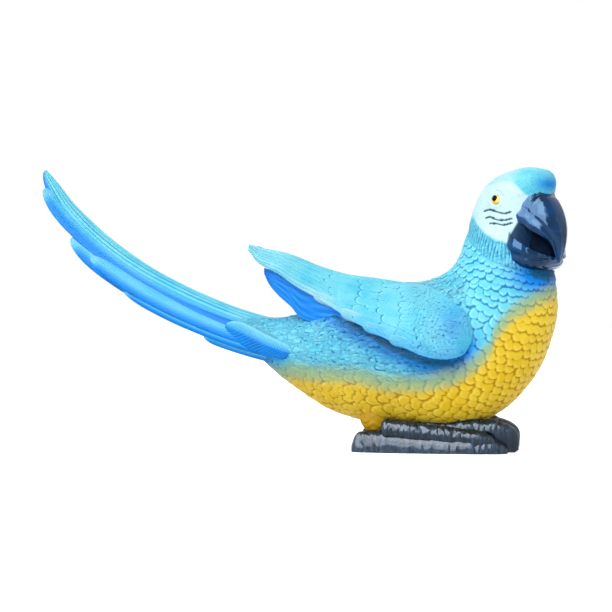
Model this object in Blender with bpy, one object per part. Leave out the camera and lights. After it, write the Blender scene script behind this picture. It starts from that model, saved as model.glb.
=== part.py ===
"""A parrot figurine: a long-tailed macaw crouching low over its two feet, cast in one piece.

The bird faces +X and +Z is up. Its head is turned towards -Y. Lengths below are in
millimetres, and MM turns them into Blender's metres when a mesh is made. The outlines
are measured with x = 0 near the middle of the bird's length; the finished solid is then
moved so that the origin is the middle of its bounding box, on the surface it stands on.
"""

import math

import bmesh
import bpy
import numpy as np

MM = 0.001

# Trunk, neck and head: one loft through oval sections that fan out round the breast.
# Each row is the back's x and z, the belly's x and z, and half the width there.
TRUNK = np.array([
    (-18.0, 76.5, -21.5, 53.0, 13.0),
    (-8.0, 77.0, -11.0, 43.5, 17.0),
    (2.5, 79.5, 2.5, 33.5, 22.0),
    (16.0, 84.5, 19.5, 23.2, 27.0),
    (30.5, 90.0, 41.0, 16.5, 32.0),
    (46.5, 94.5, 67.0, 12.0, 36.0),
    (61.5, 97.0, 95.0, 13.0, 38.0),
    (72.5, 97.5, 120.5, 24.5, 38.0),
    (83.0, 100.5, 137.5, 43.0, 36.0),
    (90.5, 105.5, 146.5, 62.0, 33.0),
    (95.2, 112.5, 150.5, 81.0, 29.5),
    (97.5, 120.0, 149.5, 96.5, 26.0),
    (99.5, 128.0, 148.5, 109.0, 23.5),
])
# The head's rows have x measured from the neck's axis, which the head turns about.
NECK_AXIS_X = 124.5
HEAD = np.array([
    (-25.0, 134.5, 23.0, 121.0, 21.0),
    (-23.0, 142.0, 23.5, 131.5, 19.0),
    (-19.5, 148.5, 25.0, 142.0, 18.0),
    (-14.5, 154.0, 28.0, 150.5, 16.5),
    (-7.5, 158.2, 28.5, 156.0, 14.5),
    (1.0, 161.2, 26.5, 160.0, 10.5),
    (8.0, 162.7, 22.0, 162.0, 6.0),
    (15.0, 163.2, 15.0, 163.2, 0.0),
])
HEAD_YAW = math.radians(37.0)
# Share of the head's turn at each section from the breast up to the jaw.
NECK_TURN = (0.0, 0.12, 0.38, 0.7, 0.93)
BELLY_FULLNESS = 0.08

# Overlapping round feathers carved on the neck, breast and belly.
FEATHERS_ROUND = 22
FEATHER_PITCH = 10.6
FEATHER_RELIEF = 1.1
FEATHER_POINT = 2.1
FEATHER_GAP = 0.35
# The row of the trunk's table where the carving starts.
FEATHERS_FROM = 2.4

# Folded wings. Each row is x, then z at the upper and at the lower edge.
WING = np.array([
    (104.0, 70.0, 64.5),
    (99.5, 80.5, 57.0),
    (93.0, 85.5, 54.5),
    (86.0, 90.5, 54.0),
    (76.0, 95.5, 56.0),
    (61.5, 97.7, 62.5),
    (45.5, 100.2, 70.0),
    (29.0, 102.5, 79.0),
    (13.0, 107.1, 88.5),
    (1.0, 112.0, 95.0),
    (-9.0, 115.5, 102.0),
    (-20.5, 117.8, 108.0),
    (-25.0, 119.2, 113.2),
    (-27.0, 119.6, 116.2),
])
WING_LIFT = 4.8
WING_ROOT_LIFT = 1.8
WING_THICKNESS = 4.6
WING_BULGE = 4.0
WING_PARTING = 7.0
WING_TIP_SPREAD = 27.0
WING_FREE_FROM_X = 26.0
WING_SHOULDER = 15.0
# From this x forwards, and over this length, a wing thickens to reach into the body.
WING_THICK_FROM_X = 12.0
WING_THICK_OVER = 22.0
# Carving of the wing: zigzag rows of small feathers in front, long quills behind.
COVERT_END_X = 47.0
COVERT_PITCH = 9.4
COVERT_POINT = 1.8
CARVED_RELIEF = 0.8
# Secondary feathers that step out under the wing's lower edge: x of each rounded end.
SECONDARY_ENDS = (58.0, 42.5, 28.5, 12.5)
SECONDARY_LENGTH = 26.0
SECONDARY_WIDTH = 6.6
SECONDARY_THICKNESS = 3.4
# The inner blade under each wing, down to the rump: x, then z of its upper and lower edge.
INNER_WING = np.array([
    (38.5, 92.5, 76.0),
    (19.0, 96.5, 74.0),
    (5.0, 99.5, 76.0),
    (-2.5, 102.0, 83.5),
    (-9.5, 104.0, 89.5),
    (-15.2, 105.0, 96.0),
    (-18.5, 106.0, 102.5),
])
INNER_WING_INSET = 2.8
INNER_WING_THICKNESS = 4.0

# Tail: a bundle of long blades along one ridge line, x and z from the rump to the tip.
TAIL_RIDGE = np.array([
    (21.0, 74.0),
    (-1.5, 74.5),
    (-14.5, 76.0),
    (-40.0, 83.8),
    (-68.5, 95.8),
    (-94.5, 110.2),
    (-116.5, 126.3),
    (-135.0, 143.8),
    (-145.4, 156.8),
    (-153.6, 166.2),
])
TAIL_THICKNESS = 3.4
# Each feather: where its round end lies along the ridge, and the side-ways and downward
# place of its upper edge and of its lower edge, seen along the tail.
TAIL_SIDE_FEATHERS = (
    (0.950, (3.0, 2.6), (12.0, 12.6)),
    (0.790, (9.0, 8.0), (13.0, 20.0)),
    (0.715, (11.0, 9.5), (14.6, 18.6)),
    (0.590, (12.8, 16.0), (13.0, 21.8)),
    (0.340, (10.5, 19.0), (8.5, 24.8)),
)
TAIL_TOP_HALF_WIDTH = 9.5
TAIL_TOP_DROP = 11.0
TAIL_CORE_END = 0.72
TAIL_CORE_HALF_WIDTH = 13.5
TAIL_CORE_DEPTH = 19.0

# Beak, in the head's own upright plane: x from the neck's axis, and z.
# Each row is the ridge's x and z, the cutting edge's x and z, and half the width.
UPPER_BEAK = np.array([
    (12.0, 149.5, 6.0, 132.0, 11.5),
    (21.0, 152.0, 13.5, 132.0, 14.4),
    (25.5, 150.6, 18.5, 130.6, 14.0),
    (27.0, 147.6, 20.8, 129.0, 13.3),
    (30.6, 144.2, 23.8, 126.8, 12.8),
    (34.6, 137.5, 27.8, 123.5, 10.8),
    (37.2, 129.0, 30.5, 120.0, 8.2),
    (37.6, 120.5, 32.2, 116.0, 5.6),
    (36.6, 113.5, 33.2, 112.0, 3.4),
    (34.6, 108.0, 34.0, 108.5, 1.0),
])
# Each row is the upper rim's x and z, the keel's x and z, and half the width.
LOWER_BEAK = np.array([
    (2.0, 127.5, -1.0, 109.5, 14.0),
    (9.5, 127.5, 6.0, 105.0, 18.5),
    (17.5, 121.0, 14.0, 103.0, 19.0),
    (24.5, 115.0, 22.5, 103.5, 15.6),
    (29.3, 112.5, 28.6, 106.5, 10.5),
    (31.8, 112.0, 31.8, 109.5, 4.6),
])
# The closed mouth between them, set back from both rims.
MOUTH = np.array([
    (8.0, 136.0, 6.0, 112.5, 10.0),
    (19.0, 132.0, 15.0, 109.5, 11.6),
    (25.0, 127.0, 22.0, 109.0, 9.8),
    (28.3, 121.5, 26.8, 109.5, 7.0),
    (31.0, 116.0, 30.4, 111.5, 3.6),
])

# How far the sides are drawn in just above the cutting edges, as a share of half the width.
BEAK_GROOVE = 0.07

EYE_RADIUS = 3.1
EYE_BULGE = 1.1
LID_RADIUS = 4.3
LID_BULGE = 0.5
EYE_STATION = 14.9
EYE_ANGLE = math.radians(92)
EYE_SINK = 1.0

# Feet. Each row of the sole is x, the height above the ground and half the width.
SOLE = np.array([
    (28.0, 4.0, 2.4),
    (31.6, 10.6, 5.4),
    (41.0, 11.5, 7.2),
    (50.0, 12.0, 8.8),
    (70.0, 10.5, 9.6),
    (90.0, 9.0, 10.0),
    (103.0, 8.4, 9.4),
    (112.0, 6.4, 7.6),
    (117.0, 2.6, 4.6),
])
FOOT_SPREAD = 40.0
FOOT_AHEAD = 6.0
# Each toe: side-ways place, radius, then x and z of its root and of its knuckle.
TOES = (
    (-4.6, 5.4, (45.0, 13.8), (100.0, 8.0)),
    (5.2, 6.9, (50.0, 13.4), (113.0, 12.6)),
)
CLAW_REACH = 9.0
CLAW_RADIUS = 5.6
CLAW_ROOT = 3.0
CLAW_ARCH = 0.45
THIGH_HALF = (8.4, 6.0, 8.6)
THIGH_X = 46.5
THIGH_Y = 16.0
THIGH_Z = 20.0

RESIN_COLOUR = (0.22, 0.62, 0.86, 1.0)
RESIN_ROUGHNESS = 0.42


def spline(rows, t):
    """Rows of a table read at the places t along it, on a smooth curve through the rows."""
    t = np.atleast_1d(np.asarray(t, float))
    last = len(rows) - 1
    i = np.clip(np.floor(t).astype(int), 0, last - 1)
    s = (t - i)[:, None]
    p0 = rows[np.maximum(i - 1, 0)]
    p1, p2 = rows[i], rows[i + 1]
    p3 = rows[np.minimum(i + 2, last)]
    return 0.5 * (
        2 * p1 + (p2 - p0) * s + (2 * p0 - 5 * p1 + 4 * p2 - p3) * s**2
        + (3 * p1 - p0 - 3 * p2 + p3) * s**3
    )


def turn_head(points, share=1.0):
    """Points turned with the head about the neck's upright axis, by a share of its yaw."""
    angle = -HEAD_YAW * np.asarray(share)
    x = points[..., 0] - NECK_AXIS_X
    y = points[..., 1]
    turned = points.copy()
    turned[..., 0] = NECK_AXIS_X + x * np.cos(angle) - y * np.sin(angle)
    turned[..., 1] = x * np.sin(angle) + y * np.cos(angle)
    return turned


def body_rows():
    """The whole table from rump to crown, with the share of the head's turn added."""
    head = HEAD.copy()
    head[:, [0, 2]] += NECK_AXIS_X
    rows = np.vstack([TRUNK, head])
    turn = np.ones(len(rows))
    turn[: len(TRUNK)] = 0.0
    first = len(TRUNK) - len(NECK_TURN) + 1
    turn[first : first + len(NECK_TURN)] = NECK_TURN
    return np.column_stack([rows, turn])


BODY = body_rows()


def body_points(t, angle):
    """Points on the body at places t along it and angles round it, 0 at the back."""
    t, angle = np.broadcast_arrays(np.asarray(t, float), np.asarray(angle, float))
    row = spline(BODY, t.ravel())
    a = angle.ravel()
    back, front = row[:, 0:2], row[:, 2:4]
    mid, half = (back + front) / 2, (back - front) / 2
    plane = mid + half * np.cos(a)[:, None]
    width = row[:, 4] * np.sin(a) * (1 - BELLY_FULLNESS * np.cos(a))
    points = np.column_stack([plane[:, 0], width, plane[:, 1]])
    return turn_head(points, row[:, 5]).reshape(t.shape + (3,))


def body_half_width(x, z):
    """Half the trunk's width at a place in the upright middle plane, and 0 outside it."""
    t = np.linspace(0, len(TRUNK) - 2, 240)
    row = spline(BODY, t)
    back, front = row[:, 0:2], row[:, 2:4]
    mid, half = (back + front) / 2, (back - front) / 2
    length = np.hypot(half[:, 0], half[:, 1])
    off = np.array([x, z]) - mid
    across = (half[:, 0] * off[:, 1] - half[:, 1] * off[:, 0]) / length
    along = (half[:, 0] * off[:, 0] + half[:, 1] * off[:, 1]) / length**2
    i = np.argmin(np.abs(across) + 50.0 * (np.abs(along) > 1.3))
    c = along[i]
    if abs(c) >= 1:
        return 0.0
    return row[i, 4] * math.sqrt(1 - c * c) * (1 - BELLY_FULLNESS * c)


def make_mesh(name, rings):
    """A closed object from rings of points; each end is closed by a fan to its middle."""
    mesh = bpy.data.meshes.new(name)
    bm = bmesh.new()
    loops = [[bm.verts.new(p * MM) for p in ring] for ring in rings]
    for low, high in zip(loops, loops[1:]):
        for i in range(len(low)):
            j = (i + 1) % len(low)
            bm.faces.new((low[i], low[j], high[j], high[i]))
    for loop, ring in ((loops[0], rings[0]), (loops[-1], rings[-1])):
        pole = bm.verts.new(np.mean(ring, axis=0) * MM)
        for i in range(len(loop)):
            bm.faces.new((loop[i], loop[(i + 1) % len(loop)], pole))
    bmesh.ops.remove_doubles(bm, verts=bm.verts, dist=0.00001)
    bmesh.ops.recalc_face_normals(bm, faces=bm.faces)
    bmesh.ops.triangulate(bm, faces=bm.faces)
    bm.to_mesh(mesh)
    bm.free()
    mesh.shade_smooth()
    mesh.set_sharp_from_angle(angle=math.radians(50))
    obj = bpy.data.objects.new(name, mesh)
    bpy.context.scene.collection.objects.link(obj)
    return obj


def feather_rows():
    """Places along the body where a row of carved feathers ends, from rump to jaw."""
    t = np.linspace(FEATHERS_FROM, len(TRUNK) + 0.1, 400)
    flank = body_points(t, math.radians(118))
    steps = np.linalg.norm(np.diff(flank, axis=0), axis=1)
    length = np.concatenate([[0], np.cumsum(steps)])
    count = int(length[-1] // FEATHER_PITCH)
    ends = np.interp(np.arange(count) * FEATHER_PITCH, length, t)
    per_mm = np.interp(ends, t, np.gradient(t, length))
    return ends, per_mm


def carved_height(t, angle):
    """How deep the feathers are carved: fading out at the rump, the face and the back."""
    start = np.clip((t - FEATHERS_FROM) / 1.6, 0, 1)
    end = np.clip((len(TRUNK) + 0.3 - t) / 1.2, 0, 1)
    return FEATHER_RELIEF * start * end * (0.75 - 0.25 * np.cos(angle))


def build_body():
    """Head and trunk. Every feather row is a low ring and a high ring, both in zigzag."""
    count = 2 * FEATHERS_ROUND
    angle = np.arange(count) * 2 * math.pi / count
    zigzag = np.where(np.arange(count) % 2 == 0, 1.0, -1.0)
    rings = [body_points(t, angle) for t in (0.0, 0.2, 1.3)]
    rings[0] = rings[0] * 0.3 + rings[0].mean(axis=0) * 0.7 + (-4.0, 0, 1.0)
    ends, per_mm = feather_rows()
    for row, (t_end, rate) in enumerate(zip(ends, per_mm)):
        side = zigzag if row % 2 else -zigzag
        t = t_end - side * FEATHER_POINT * rate
        middle = body_points(t, angle)
        outward = middle - body_points(t, angle + math.pi)
        outward /= np.linalg.norm(outward, axis=1)[:, None]
        height = carved_height(t, angle)
        rings.append(middle)
        gap = body_points(t + FEATHER_GAP * rate, angle)
        rings.append(gap + outward * (height * (0.8 + 0.2 * side))[:, None])
    last = ends[-1]
    for t in np.linspace(last + 0.5, len(BODY) - 1.3, 5):
        rings.append(body_points(t, angle))
    rings.append(body_points(len(BODY) - 1.02, angle))
    return make_mesh("parrot_figurine", rings)


def wing_outline(x):
    """Heights of a wing's upper and lower edge at x."""
    t = np.linspace(0, len(WING) - 1, 200)
    row = spline(WING, t)
    return np.interp(-x, -row[:, 0], row[:, 1]), np.interp(-x, -row[:, 0], row[:, 2])


def wing_edge(x):
    """Side-ways place of a wing's upper and lower edge at x, as distances from y = 0."""
    shoulder = math.sqrt(1 - (1 - np.clip((WING[0, 0] - x) / WING_SHOULDER, 0, 1)) ** 2)
    on_body = max(x, WING_FREE_FROM_X)
    top = max(body_half_width(x, wing_outline(x)[0]), WING_PARTING / 2)
    bottom = body_half_width(on_body, wing_outline(on_body)[1]) + WING_LIFT * shoulder
    share = np.clip((WING_FREE_FROM_X - x) / (WING_FREE_FROM_X - WING[-1, 0]), 0, 1)
    top += (WING_TIP_SPREAD / 2 - top) * share**2
    bottom += (WING_TIP_SPREAD / 2 - bottom) * share**0.9
    return top, bottom, shoulder


def wing_point(x, s):
    """A place on a wing's smooth outer face, s of the way from its upper to its lower edge."""
    z_top, z_bottom = wing_outline(x)
    y_top, y_bottom, shoulder = wing_edge(x)
    z = z_top + (z_bottom - z_top) * s
    arc = y_top + (y_bottom - y_top) * s + WING_BULGE * shoulder * 4 * s * (1 - s)
    flank = body_half_width(x, z)
    lift = WING_ROOT_LIFT + (WING_LIFT - WING_ROOT_LIFT) * math.sin(math.pi / 2 * min(1, 1.5 * s))
    return np.array([x, max(arc, flank + lift * shoulder * min(1, flank / 6)), z])


def build_wing(side, steps=9, back_steps=3):
    """A wing: covert feathers in rows on the shoulder, then quills that overlap downwards."""
    s = np.linspace(0, 1, steps + 1) ** 0.9
    zigzag = np.where(np.arange(steps + 1) % 2 == 0, 1.0, -1.0)
    rings = []
    rows = np.arange(WING[0, 0] - 9.0, COVERT_END_X, -COVERT_PITCH)
    stations = [(WING[0, 0] - 0.3, 0.0, 0.0), (WING[0, 0] - 4.0, 0.0, 0.0)]
    for k, x in enumerate(rows):
        turn = 1 if k % 2 else -1
        stations += [(x, CARVED_RELIEF, turn), (x - 0.5, 0.0, turn)]
    stations += [(x, 0.0, 0.0) for x in np.linspace(COVERT_END_X - 6, WING[-1, 0] + 0.4, 8)]
    for x, relief, turn in stations:
        quills = np.clip((COVERT_END_X + 2 - x) / 12, 0, 1) * CARVED_RELIEF
        outer = []
        for i, (share, tooth) in enumerate(zip(s, zigzag)):
            fade = min(1, 8 * share * (1 - share))
            point = wing_point(x - turn * tooth * COVERT_POINT * fade, share)
            point[1] += relief * fade + quills * fade * (tooth > 0)
            outer.append(point)
        inner = []
        for share in np.linspace(1, 0, back_steps + 2)[1:-1]:
            point = wing_point(x, share)
            on_body = np.clip((x - WING_THICK_FROM_X) / WING_THICK_OVER, 0, 1)
            point[1] = max(point[1] - WING_THICKNESS * (1 + 1.7 * on_body), 0.3 * point[1])
            inner.append(point)
        rings.append(np.array(outer + inner) * (1, side, 1))
    return make_mesh("wing", rings)


def build_inner_wing(side, stations=7, steps=4):
    """The flat blade of inner flight feathers that carries the wing tip on the rump."""
    rings = []
    for x, z_top, z_bottom in spline(INNER_WING, np.linspace(0, len(INNER_WING) - 1, stations)):
        wing_top, wing_bottom = wing_outline(x)
        outer, inner = [], []
        for i in range(steps + 1):
            s = (1 - math.cos(math.pi * i / steps)) / 2
            z = z_top + (z_bottom - z_top) * s
            beside = np.clip((z - wing_top) / (wing_bottom - wing_top), 0, 1)
            y = wing_point(x, beside)[1] - INNER_WING_INSET
            outer.append((x, y, z))
            inner.append((x, y - INNER_WING_THICKNESS * math.sin(math.pi * s) ** 0.5, z))
        rings.append(np.array(outer + inner[-2:0:-1]) * (1, side, 1))
    return make_mesh("inner_wing", rings)


def build_secondary(side, end_x, stations=5, steps=6):
    """One feather that comes out from under the wing's lower edge, with a rounded free end."""
    rings = []
    for share in np.linspace(0, 1, stations) ** 1.4:
        x = end_x + SECONDARY_LENGTH * share
        round_off = math.sqrt(1 - (1 - min(1, share * 4.0 + 0.1)) ** 2)
        half = SECONDARY_WIDTH / 2 * round_off
        thick = SECONDARY_THICKNESS / 2 * round_off * (1 - 0.5 * share)
        lower = wing_outline(x)[1] - 2.6 + 5.0 * share
        centre = np.array([x, wing_edge(x)[1] - 0.7 - 4.2 * share, lower + SECONDARY_WIDTH / 2])
        a = np.arange(steps) * 2 * math.pi / steps
        ring = np.column_stack([0.35 * half * np.cos(a), thick * np.sin(a), half * np.cos(a)])
        rings.append((centre + ring) * (1, side, 1))
    return make_mesh("secondary", rings)


def tail_frames(shares):
    """Points of the tail's ridge at shares of its length, with the upward normal there."""
    t = np.linspace(0, len(TAIL_RIDGE) - 1, 300)
    line = spline(TAIL_RIDGE, t)
    length = np.concatenate([[0], np.cumsum(np.linalg.norm(np.diff(line, axis=0), axis=1))])
    at = np.asarray(shares) * length[-1]
    points = np.column_stack([np.interp(at, length, line[:, k]) for k in (0, 1)])
    ahead = np.column_stack([np.interp(at + 1, length, line[:, k]) for k in (0, 1)])
    before = np.column_stack([np.interp(at - 1, length, line[:, k]) for k in (0, 1)])
    tangent = ahead - before
    tangent /= np.linalg.norm(tangent, axis=1)[:, None]
    return points, np.column_stack([tangent[:, 1], -tangent[:, 0]])


def in_tail(share, outline):
    """An outline of (side-ways, downward) places, set square to the ridge at a share."""
    point, normal = (a[0] for a in tail_frames([share]))
    side, down = np.asarray(outline, float).T
    return np.column_stack([point[0] - normal[0] * down, side, point[1] - normal[1] * down])


def build_top_tail_feather(steps=6):
    """The longest pair, joined as one roof-shaped blade that runs to the tail's tip."""
    rings = []
    for share in (0.04, 0.2, 0.36, 0.5, 0.63, 0.75, 0.85, 0.91, 0.955, 0.982, 0.997):
        taper = math.sqrt(1 - 0.985 * max(0.0, (share - 0.74) / 0.257) ** 2.4)
        s = np.linspace(-1, 1, steps + 1)
        side = TAIL_TOP_HALF_WIDTH * taper * np.sin(s * math.pi / 2)
        drop = TAIL_TOP_DROP * taper * (1 - np.cos(s * math.pi / 2)) ** 0.85
        under = TAIL_THICKNESS * (0.35 + 0.65 * taper) * (1 - np.abs(s) ** 3)
        outer = np.column_stack([side, drop])
        inner = np.column_stack([side * 0.94, drop + under + 0.2])
        rings.append(in_tail(share, np.vstack([outer, inner[-2:0:-1]])))
    return make_mesh("tail_top", rings)


def build_tail_feather(end, upper, lower, side, steps=6):
    """A long side blade with a rounded end, tilted between its upper and lower edges."""
    upper, lower = np.array(upper), np.array(lower)
    along = lower - upper
    width = np.linalg.norm(along)
    across = np.array([along[1], -along[0]]) / width
    rings = []
    for share in (0.0, 0.4, 0.72, 0.87, 0.93, 0.97, 0.99, 1.0):
        place = 0.05 + (end - 0.05) * share
        round_off = math.sqrt(1 - 0.97 * max(0.0, (share - 0.84) / 0.16) ** 2.2)
        a = np.arange(steps) * 2 * math.pi / steps
        flat = np.cos(a)[:, None] * along / 2 * round_off
        thick = np.sin(a)[:, None] * across * TAIL_THICKNESS / 2 * round_off
        outline = (upper + lower) / 2 + flat + thick
        rings.append(in_tail(place, outline * (side, 1)))
    return make_mesh("tail_feather", rings)


def build_tail_core(stations=7):
    """The solid inside of the bundle, which closes it underneath."""
    w, d = TAIL_CORE_HALF_WIDTH, TAIL_CORE_DEPTH
    outline = np.array([(0, 2.0), (w * 0.6, 6.0), (w, 11.0), (w, d * 0.9), (w * 0.5, d * 0.98)])
    outline = np.vstack([outline, (0, d * 0.86), (outline * (-1, 1))[:0:-1]])
    rings = []
    for share in np.linspace(0, 1, stations):
        shrink = 1 - 0.55 * share**3
        rings.append(in_tail(TAIL_CORE_END * share + 0.02, outline * shrink))
    return make_mesh("tail_core", rings)


def beak_ring(row, bottom_curve, power, steps):
    """A section of a beak half: an arch from one cutting edge over the ridge to the other."""
    ridge, edge, half = row[0:2], row[2:4], row[4]
    ring = []
    for i in range(steps + 1):
        a = math.pi * i / steps
        c, s = math.cos(a), math.sin(a)
        groove = BEAK_GROOVE if i in (1, steps - 1) else 0.0
        side = (half * (1 - groove)) * math.copysign(abs(c) ** power, c)
        place = edge + (ridge - edge) * s**power
        ring.append((place[0], side, place[1]))
    for i in range(1, 4):
        c = -1 + i / 2
        place = edge + (ridge - edge) * bottom_curve * (1 - c * c)
        ring.append((place[0], half * c, place[1]))
    return np.array(ring) + (NECK_AXIS_X, 0, 0)


def build_beak_part(name, table, bottom_curve, power=0.86, stations=10, steps=8):
    rows = spline(table, np.linspace(0, len(table) - 1, stations))
    return make_mesh(name, [turn_head(beak_ring(row, bottom_curve, power, steps)) for row in rows])


def build_eye(side, radius, bulge):
    """A low dome on the side of the head, square to the surface there."""
    angle = side * EYE_ANGLE
    middle = body_points(EYE_STATION, angle)
    along = body_points(EYE_STATION + 0.3, angle) - middle
    round_ = body_points(EYE_STATION, angle + 0.1) - middle
    normal = np.cross(along, round_)
    normal /= np.linalg.norm(normal)
    if np.dot(normal, middle - body_points(EYE_STATION, -angle)) < 0:
        normal = -normal
    along = along / np.linalg.norm(along)
    other = np.cross(normal, along)
    rings = []
    for a in (0.0, 0.6, 1.1, 1.5):
        r, h = radius * math.cos(a), bulge * math.sin(a)
        ring = [
            middle + normal * h + (along * math.cos(b) + other * math.sin(b)) * r
            for b in np.arange(10) * 2 * math.pi / 10
        ]
        rings.append(np.array(ring))
    rings.insert(0, rings[0] - normal * (EYE_SINK + 2.0))
    return make_mesh("eye", rings)


def flat_bottomed(ring):
    """A ring cut level with the surface that the feet stand on."""
    ring = ring.copy()
    ring[:, 2] = np.maximum(ring[:, 2], 0.0)
    return ring


def foot_place(side):
    """How far a foot is moved from the bird's middle plane."""
    return np.array([FOOT_AHEAD, side * FOOT_SPREAD / 2, 0.0])


def build_sole(side, stations=8, steps=10):
    rings = []
    for x, height, half in spline(SOLE, np.linspace(0, len(SOLE) - 1, stations)):
        a = np.arange(steps) * 2 * math.pi / steps
        c, s = np.cos(a), np.sin(a)
        y = half * np.sign(c) * np.abs(c) ** 0.7
        z = height * np.where(s > 0, np.abs(s) ** 0.7, -0.2 * np.abs(s))
        rings.append(flat_bottomed(np.column_stack([np.full(steps, x), y, z])) + foot_place(side))
    return make_mesh("sole", rings)


def build_toe(side, offset, radius, root, knuckle, stations=7, steps=8):
    """A toe that lies on the sole, with a low bump at each joint."""
    rings = []
    root, knuckle = np.array(root), np.array(knuckle)
    for i in range(stations):
        share = i / (stations - 1)
        x, z = root + (knuckle - root) * share
        end = math.sqrt(1 - 0.75 * max(0.0, abs(2 * share - 1) * 3 - 2) ** 2)
        r = radius * (1 - 0.12 * share) * (1 + 0.06 * math.cos(share * math.pi * 6)) * end
        a = (np.arange(steps) + 0.5) * 2 * math.pi / steps
        y = -side * offset + r * np.cos(a)
        ring = np.column_stack([np.full(steps, x), y, z + r * np.sin(a)])
        rings.append(flat_bottomed(ring) + foot_place(side))
    return make_mesh("toe", rings)


def build_claw(side, offset, knuckle, stations=5, steps=6):
    """A curved claw from the end of a toe down to the ground."""
    rings = []
    for i in range(stations):
        share = i / (stations - 1)
        x = knuckle[0] - CLAW_ROOT + (CLAW_REACH + CLAW_ROOT) * math.sin(share * math.pi / 2)
        z = 1.0 + (knuckle[1] - 1.0) * math.cos(share * math.pi / 2) ** CLAW_ARCH
        r = CLAW_RADIUS * (1 - 0.8 * share**1.5)
        a = (np.arange(steps) + 0.5) * 2 * math.pi / steps
        y = -side * offset + r * np.cos(a)
        ring = np.column_stack([x + r * np.sin(a) * share, y, z + r * np.sin(a) * (1 - 0.5 * share)])
        rings.append(flat_bottomed(ring) + foot_place(side))
    return make_mesh("claw", rings)


def build_thigh(side, stations=5, steps=8):
    """The belly's tuft that comes down over the root of each foot."""
    rings = []
    for i in range(stations):
        b = math.pi * (i + 0.35) / (stations - 0.3)
        a = np.arange(steps) * 2 * math.pi / steps
        x = THIGH_X - THIGH_HALF[0] * math.cos(b)
        y = side * THIGH_Y + THIGH_HALF[1] * math.sin(b) * np.cos(a)
        z = THIGH_Z + THIGH_HALF[2] * math.sin(b) * np.sin(a)
        rings.append(np.column_stack([np.full(steps, x), y, z]))
    return make_mesh("thigh", rings)


def painted_resin():
    material = bpy.data.materials.new("painted_resin")
    material.use_nodes = True
    shader = material.node_tree.nodes["Principled BSDF"]
    shader.inputs["Base Color"].default_value = RESIN_COLOUR
    shader.inputs["Roughness"].default_value = RESIN_ROUGHNESS
    shader.inputs["Metallic"].default_value = 0.0
    return material


def build_details():
    """Everything that the mould joins to the body."""
    parts = [build_top_tail_feather(), build_tail_core()]
    parts.append(build_beak_part("upper_beak", UPPER_BEAK, 0.12))
    parts.append(build_beak_part("lower_beak", LOWER_BEAK[:, [2, 3, 0, 1, 4]], 0.25, 0.75, 8))
    parts.append(build_beak_part("mouth", MOUTH, 0.0, 0.9, 6, 6))
    for side in (-1, 1):
        parts += [build_wing(side), build_inner_wing(side)]
        parts += [build_secondary(side, x) for x in SECONDARY_ENDS]
        parts += [build_tail_feather(*feather, side) for feather in TAIL_SIDE_FEATHERS]
        parts += [build_eye(side, LID_RADIUS, LID_BULGE), build_eye(side, EYE_RADIUS, EYE_BULGE)]
        parts += [build_sole(side), build_thigh(side)]
        for offset, radius, root, knuckle in TOES:
            parts.append(build_toe(side, offset, radius, root, knuckle))
            parts.append(build_claw(side, offset, knuckle))
    return parts


def centre_on_origin(objects):
    """Moves the meshes so that the origin is the middle of their box, at its lowest level."""
    corners = np.array([v.co for obj in objects for v in obj.data.vertices])
    low, high = corners.min(axis=0), corners.max(axis=0)
    shift = np.array([(low[0] + high[0]) / 2, (low[1] + high[1]) / 2, low[2]])
    for obj in objects:
        for vertex in obj.data.vertices:
            vertex.co -= type(vertex.co)(shift)


def main():
    for obj in list(bpy.data.objects):
        bpy.data.objects.remove(obj)
    body = build_body()
    body.data.materials.append(painted_resin())
    details = build_details()
    centre_on_origin([body] + details)
    cast = bpy.data.collections.new("joined to the body")
    bpy.context.scene.collection.children.link(cast)
    for part in details:
        bpy.context.scene.collection.objects.unlink(part)
        cast.objects.link(part)
        part.hide_render = True
        part.display_type = "WIRE"
    union = body.modifiers.new("cast as one", "BOOLEAN")
    union.operation = "UNION"
    union.operand_type = "COLLECTION"
    union.collection = cast
    union.solver = "EXACT"
    union.use_self = True


main()
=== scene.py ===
# %% [markdown]
# # A cast and painted macaw
# The figurine is resin, poured into one mould and painted with an airbrush. The sculptor
# carved every feather into the master, so the cast has thousands of small raised edges.
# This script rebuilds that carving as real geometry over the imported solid, and then
# paints it with materials that read where each point lies on the bird.

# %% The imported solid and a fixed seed
import math

import bmesh
import bpy
import numpy as np
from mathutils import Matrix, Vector


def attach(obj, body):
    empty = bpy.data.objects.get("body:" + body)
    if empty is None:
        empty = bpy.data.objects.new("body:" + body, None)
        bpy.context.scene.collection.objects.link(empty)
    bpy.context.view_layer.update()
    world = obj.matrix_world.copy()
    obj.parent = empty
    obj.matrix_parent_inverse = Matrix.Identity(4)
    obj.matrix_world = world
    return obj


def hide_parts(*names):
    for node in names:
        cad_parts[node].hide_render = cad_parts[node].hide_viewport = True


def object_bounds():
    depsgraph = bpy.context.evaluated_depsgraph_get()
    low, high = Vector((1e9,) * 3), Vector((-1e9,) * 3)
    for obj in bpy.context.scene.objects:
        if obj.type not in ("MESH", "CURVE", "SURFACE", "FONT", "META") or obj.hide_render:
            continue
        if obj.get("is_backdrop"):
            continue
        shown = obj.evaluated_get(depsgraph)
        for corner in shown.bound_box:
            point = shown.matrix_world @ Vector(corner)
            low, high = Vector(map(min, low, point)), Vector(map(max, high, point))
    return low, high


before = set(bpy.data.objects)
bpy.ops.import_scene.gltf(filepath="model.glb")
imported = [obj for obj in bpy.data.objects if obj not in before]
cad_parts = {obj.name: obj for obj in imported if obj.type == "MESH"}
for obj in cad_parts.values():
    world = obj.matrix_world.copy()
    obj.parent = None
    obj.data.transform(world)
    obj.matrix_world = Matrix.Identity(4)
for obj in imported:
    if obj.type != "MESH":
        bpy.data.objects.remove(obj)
cad_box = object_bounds()
chance = np.random.default_rng(11)
MM = 0.001
MIDDLE_X = 0.910
print("solid's box, mm:", [[round(c / MM, 1) for c in corner] for corner in cad_box])

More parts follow.
